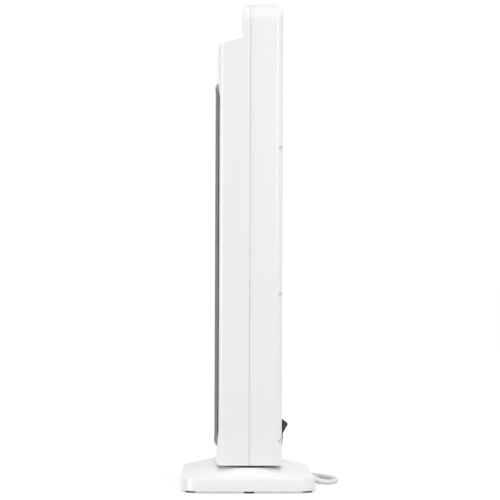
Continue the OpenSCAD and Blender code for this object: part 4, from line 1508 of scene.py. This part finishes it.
@dataclass(frozen=True)
class Deck:
    """The control deck: panel, window and keys.

    Attributes:
        at: Middle of the panel.
        slope: Rise of the deck to the rear, in degrees.
        keys: Places of the keys across the deck.
        key_r: Radius of a key.
    """

    at: Point = (0.0, -20.25, 585.3)
    slope: float = math.degrees(math.atan(6 / 25.5))
    keys: tuple[float, ...] = (-60.0, -45.0, -30.0, 30.0, 45.0, 60.0)
    key_r: float = 4.5

    def on(self, solid: Solid) -> Solid:
        """Sets a solid, made flat, on the sloped deck."""
        return solid.turned(self.slope, Axis.X).moved(*self.at)

    @classmethod
    def tray(cls, x: float, y: float, radius: float, low: float, high: float) -> Solid:
        """A rounded rectangular solid on the deck, between two heights over it."""
        return cls().on(Solid.plate((-x, -y, low), (x, y, high), radius, segments=6))

    def panel(self) -> None:
        """Makes the gloss panel and its window."""
        panel = self.tray(72, 9, 2.8, -1.65, -0.15)
        holes = [self.on(Solid.rod(self.key_r + 0.25, 10, 40).moved(x, 0, -5)) for x in self.keys]
        panel.carved(Carve.CUT, *holes, self.tray(17, 6, 1.0, -5, 5))
        panel.piece("deck_panel", GLOSS_BLACK, "tower", ("control_panel",), edge=0.2)
        window = self.tray(16.8, 5.8, 0.9, -1.6, -0.25)
        window.piece("display_glass", SMOKED_WINDOW, "tower", ("display_window",), edge=0.15)

    def key(self, number: int, x: float) -> None:
        """Makes one key with a dished top, and its mark.

        Args:
            number: The key's number, from 1.
            x: Its place across the deck.
        """
        r = self.key_r
        profile = [(0, -5.9), (1.5, -5.9), (1.5, -3.2), (r + 0.9, -3.2), (r + 0.9, -2.0), (r, -2.0),
                   (r, 0.05), (r - 0.12, 0.25), (r - 0.4, 0.38), (r - 0.8, 0.4), (2.6, 0.2), (1.3, 0.12),
                   (0, 0.1)]
        name = f"button_{number}"
        key = self.on(Solid.lathe(profile, 48).moved(x, 0, 0))
        key.piece(f"key_{number}", KEY_PLASTIC, name, (name,), angle=40)
        self.on(self.mark(number).moved(x, 0, 0.14)).piece(f"key_mark_{number}", PRINTED_MARK, name)

    @staticmethod
    def arc(radius: float, start: float, sweep: float, width: float = 0.34) -> Solid:
        """A flat arc on the origin, from a start angle through a sweep, in degrees."""
        made = Solid()
        bmesh.ops.create_grid(made.bm, x_segments=1, y_segments=1, size=0.5)
        made.turned(90, Axis.X).scaled(width, 1, 0.12).moved(radius, 0, 0.1).turned(start, Axis.Z)
        bmesh.ops.spin(
            made.bm, geom=list(made.bm.faces), cent=(0, 0, 0), axis=(0, 0, 1), dvec=(0, 0, 0),
            angle=math.radians(sweep), steps=20, use_merge=False,
        )
        return made.outward()

    @staticmethod
    def bar(x0: float, y0: float, x1: float, y1: float) -> Solid:
        """A flat bar between two corners."""
        return Solid.block((x0, y0, 0.04), (x1, y1, 0.16))

    def mark(self, number: int) -> Solid:
        """The mark on a key: power, heat, fan, timer, swing or warmth."""
        if number == 1:
            return self.arc(1.5, 120, 300).added(self.bar(-0.17, 0.5, 0.17, 2.1))
        if number == 2:
            bars = [self.bar(k * 1.1 - 0.2, -1.5, k * 1.1 + 0.2, 1.5 - 0.5 * abs(k)) for k in (-1, 0, 1)]
            return Solid().added(*bars)
        if number == 3:
            blades = [self.arc(1.1, a, 120, 0.3).moved(*polar(0.6, a), 0) for a in (0, 120, 240)]
            return self.arc(0.4, 0, 359).added(*blades)
        if number == 4:
            hands = (self.bar(-0.15, -0.15, 0.15, 1.3), self.bar(0.2, -0.15, 1.0, 0.15))
            return self.arc(1.8, 0, 359).added(*hands)
        if number == 5:
            ends = (self.bar(-2.1, -0.5, -1.2, -0.2), self.bar(1.2, -0.5, 2.1, -0.2))
            return self.arc(1.7, 200, 140).added(*ends, self.bar(-0.2, -0.2, 0.2, 1.6))
        rays = [self.bar(1.25, -0.15, 2.0, 0.15).turned(a, Axis.Z) for a in range(0, 360, 45)]
        return self.arc(0.7, 0, 359).added(*rays)

    def build(self) -> None:
        """Makes the panel and its six keys."""
        self.panel()
        for number, x in enumerate(self.keys, 1):
            self.key(number, x)


# ---- Base ----


@dataclass(frozen=True)
class Base:
    """The wide hipped base that the tower swings on.

    Attributes:
        width: Its width.
        depth: Its depth.
        corner: Radius of its corners.
        foot: Height of its feet.
        rim: Height of its rim.
        plateau: Height of its flat top.
        screws: Places of the base screws.
        feet_at: Places of the feet.
        tip_at: Place of the tip-over plunger.
    """

    width: float = 216.0
    depth: float = 175.0
    corner: float = 28.0
    foot: float = 3.0
    rim: float = 19.0
    plateau: float = 31.0
    screws: tuple[tuple[float, float], ...] = ((-70, -60), (70, -60), (-70, 60), (70, 60))
    feet_at: tuple[tuple[float, float], ...] = ((-87, -75), (87, -75), (-87, 75), (87, 75), (-98, 0), (98, 0))
    tip_at: tuple[float, float] = (-28.0, -52.0)

    def sheet(self, g: float, low: float, high: float) -> Solid:
        """A slab of the base's plan, drawn in by g."""
        x, y, r = self.width / 2 - g, self.depth / 2 - g, self.corner - g
        return Solid.plate((-x, -y, low), (x, y, high), r, segments=14)

    def hull(self, g: float, low: float) -> Solid:
        """The hipped body of the base, drawn in by g, from a lower height."""
        made = self.sheet(g, low, low + 0.1)
        made.added(self.sheet(2.6 + g, self.rim - g - 0.1, self.rim - g))
        top = Solid.rod(1, 0.1, 96).scaled(90 - g / 2, 55 - g / 2, 1).moved(0, 0, self.plateau - g - 0.1)
        made.added(top)
        spare = bmesh.ops.convex_hull(made.bm, input=made.bm.verts, use_existing_faces=False)
        loose = points_in(spare["geom_interior"] + spare["geom_unused"])
        bmesh.ops.delete(made.bm, geom=loose, context="VERTS")
        kept = {f for f in spare["geom"] if isinstance(f, bmesh.types.BMFace) and f.is_valid}
        inside = [f for f in made.bm.faces if f not in kept]
        bmesh.ops.delete(made.bm, geom=inside, context="FACES_ONLY")
        made.outward()
        flat = math.radians(0.4)
        bmesh.ops.dissolve_limit(made.bm, angle_limit=flat, verts=made.bm.verts, edges=made.bm.edges)
        return made

    def cover(self) -> None:
        """Makes the white cover with its rounded rim, hub opening and lead hole."""
        shell = self.hull(0, self.foot)
        shell.eased(
            1.2,
            lambda e: abs(e.verts[0].co.z - self.rim) < 0.3 and abs(e.verts[1].co.z - self.rim) < 0.3
            and e.calc_face_angle(0) > 0.25,
            6,
        )
        shell.carved(Carve.CUT, self.hull(2.6, self.foot - 1))
        shell.carved(Carve.CUT, Solid.rod(20.05, 30, 96).moved(0, 0, 10))
        groove = Solid.rod(34.5, 10, 96).moved(0, 0, self.plateau - 1.2).carved(
            Carve.CUT, Solid.rod(21, 20, 96).moved(0, 0, 20)
        )
        shell.carved(Carve.CUT, groove)
        lead_hole = Solid.rod(4.7, 14, 40).moved(0, 0, -7).turned(LEAD_LEAN, Axis.X).moved(*LEAD_HOLE)
        shell.carved(Carve.CUT, lead_hole)
        shell.piece("base_shell", WHITE_CASE, "base", ("base_cover",), edge=0.45, angle=24, segments=3)

    def floor_plate(self) -> None:
        """Makes the floor plate with counterbores, stiffening grooves and foot pads."""
        plate = self.sheet(3, self.foot, self.foot + 2.5)
        cuts = [Solid.rod(3.6, 1.4, 32).moved(x, y, self.foot - 0.6) for x, y in self.screws]
        cuts += [Solid.rod(1.7, 10, 24).moved(x, y, 0) for x, y in self.screws]
        cuts += [Solid.rod(2.6, 10, 24).moved(x, y, 0) for x, y in self.feet_at]
        cuts.append(Solid.rod(5.4, 10, 36).moved(*self.tip_at, 0))
        plate.carved(Carve.CUT, *cuts)
        grooves = Solid()
        for g in (14, 20):
            ring = self.sheet(g, 1, self.foot + 0.6).carved(Carve.CUT, self.sheet(g + 1.6, 0, 9))
            grooves.added(ring)
        for r in (48, 34):
            ring = Solid.rod(r, self.foot - 0.4, 72).moved(0, 0, 1)
            grooves.added(ring.carved(Carve.CUT, Solid.rod(r - 1.4, 9, 72)))
        clear = [Solid.rod(6.5, 9, 32).moved(x, y, 0) for x, y in (*self.screws, self.tip_at)]
        clear += [Solid.rod(8.5, 9, 32).moved(x, y, 0) for x, y in self.feet_at]
        grooves.carved(Carve.CUT, *clear)
        plate.carved(Carve.CUT, grooves)
        plate.piece("base_floor_plate", BASE_FLOOR, "base", ("base_plate",), edge=0.25)

    def feet(self) -> None:
        """Makes the rubber feet with their chamfers and tread rings."""
        made = Solid()
        profile = [(0, 0.35), (2.4, 0.35), (2.8, 0), (4.2, 0), (4.5, 0.35), (5.1, 0.35), (5.4, 0), (6.4, 0),
                   (7, 0.6), (7, 2.95), (2.55, 2.95), (2.55, 6.0), (2.2, 6.5), (0, 6.5)]
        for x, y in self.feet_at:
            made.added(Solid.lathe(profile, 40).moved(x, y, 0))
        made.piece("rubber_feet", FOOT_RUBBER, "base", ("feet",))

    def fasten(self) -> None:
        """Makes the base screws, heads down."""
        made = Solid()
        for x, y in self.screws:
            made.added(Screw(3.0, 1.28, 1.6, 11.6).solid().turned(180, Axis.X).moved(x, y, 1.4))
        made.piece("base_screw_set", ZINC_STEEL, "base", ("base_screws",))

    def build(self) -> None:
        """Makes the base's outside, and dresses what is inside it."""
        self.cover()
        self.floor_plate()
        self.feet()
        self.fasten()
        Pieces.dress(ZINC_STEEL, "base_weight", "oscillation_motor")
        Pieces.dress(NATURAL_NYLON, "oscillation_pinion", "swivel_ring")
        Pieces.dress(BLACK_NYLON, "tip_switch")
        Pieces.dress(RED_PLASTIC, "tip_plunger")
        Pieces.dress(BASE_FLOOR, "cord_clamp")
        Pieces.dress(LEAD_JACKET, "inner_lead_base")


# ---- Inside the tower ----


@dataclass(frozen=True)
class Works:
    """Heater, blower, motor and electronics inside the tower.

    Attributes:
        back: Back of the heater frame.
        low: Lower end of the heating elements.
        high: Upper end of the heating elements.
        pitch: Distance between folds of a fin strip.
        strips: Left and right edge of each fin strip.
    """

    back: float = -22.0
    low: float = 134.0
    high: float = 476.0
    pitch: float = 3.0
    strips: tuple[tuple[float, float], ...] = ((-53.9, -36.1), (-29.9, -3.1), (3.1, 29.9), (36.1, 53.9))

    def fins(self) -> None:
        """Makes the folded aluminium strips between the ceramic bars."""
        made = Solid()
        count = int((self.high - self.low - 2) / self.pitch)
        for x0, x1 in self.strips:
            strip = Solid()
            verts = [
                strip.bm.verts.new((x0 if i % 2 == 0 else x1, self.back - 10, self.low + 1 + i * self.pitch))
                for i in range(count + 1)
            ]
            edges = [strip.bm.edges.new(pair) for pair in zip(verts, verts[1:])]
            drawn = bmesh.ops.extrude_edge_only(strip.bm, edges=edges)["geom"]
            bmesh.ops.translate(strip.bm, vec=(0, 8, 0), verts=points_in(drawn))
            bmesh.ops.solidify(strip.bm, geom=list(strip.bm.faces), thickness=0.3)
            made.added(strip.outward())
        made.piece("fin_strips", FIN_ALUMINIUM, "tower", ("heating_fins",))

    def build(self) -> None:
        """Makes the fins, and dresses the rest."""
        self.fins()
        Pieces.dress(ZINC_STEEL, "turntable_screws", "swivel_retainer", "blower_shaft", "motor_bracket")
        Pieces.dress(NATURAL_NYLON, "sector_gear")
        Pieces.dress(LEAD_JACKET, "inner_lead_tower")
        Pieces.dress(CIRCUIT_BOARD, "control_board", "power_board")
        Pieces.dress(BLACK_NYLON, "tact_switches", "impeller")
        Pieces.dress(SATIN_BLACK, "display_module")
        Pieces.dress(COMPONENT_BLUE, "power_components")
        Pieces.dress(ROTOR_ALLOY, "motor_rotor")
        Pieces.dress(STATOR_STEEL, "motor_stator")
        Pieces.dress(COPPER_WINDING, "motor_coil")
        Pieces.dress(SINTERED_BRONZE, "lower_bearing")
        Pieces.dress(DUCT_STEEL, "air_duct")
        Pieces.dress(CREAM_RESIN, "heater_frame")
        Pieces.dress(PTC_CERAMIC, "ceramic_bars")
        Pieces.dress(CUTOUT_CERAMIC, "thermal_cutout")


def main() -> None:
    """Builds the studio, then the lead, tower, base and works, in that order."""
    logging.basicConfig(level=logging.INFO, format="%(name)s: %(message)s")
    Studio().build()
    MainsLead().build()
    Tower().build()
    Base().build()
    Works().build()


if __name__ == "__main__":
    main()
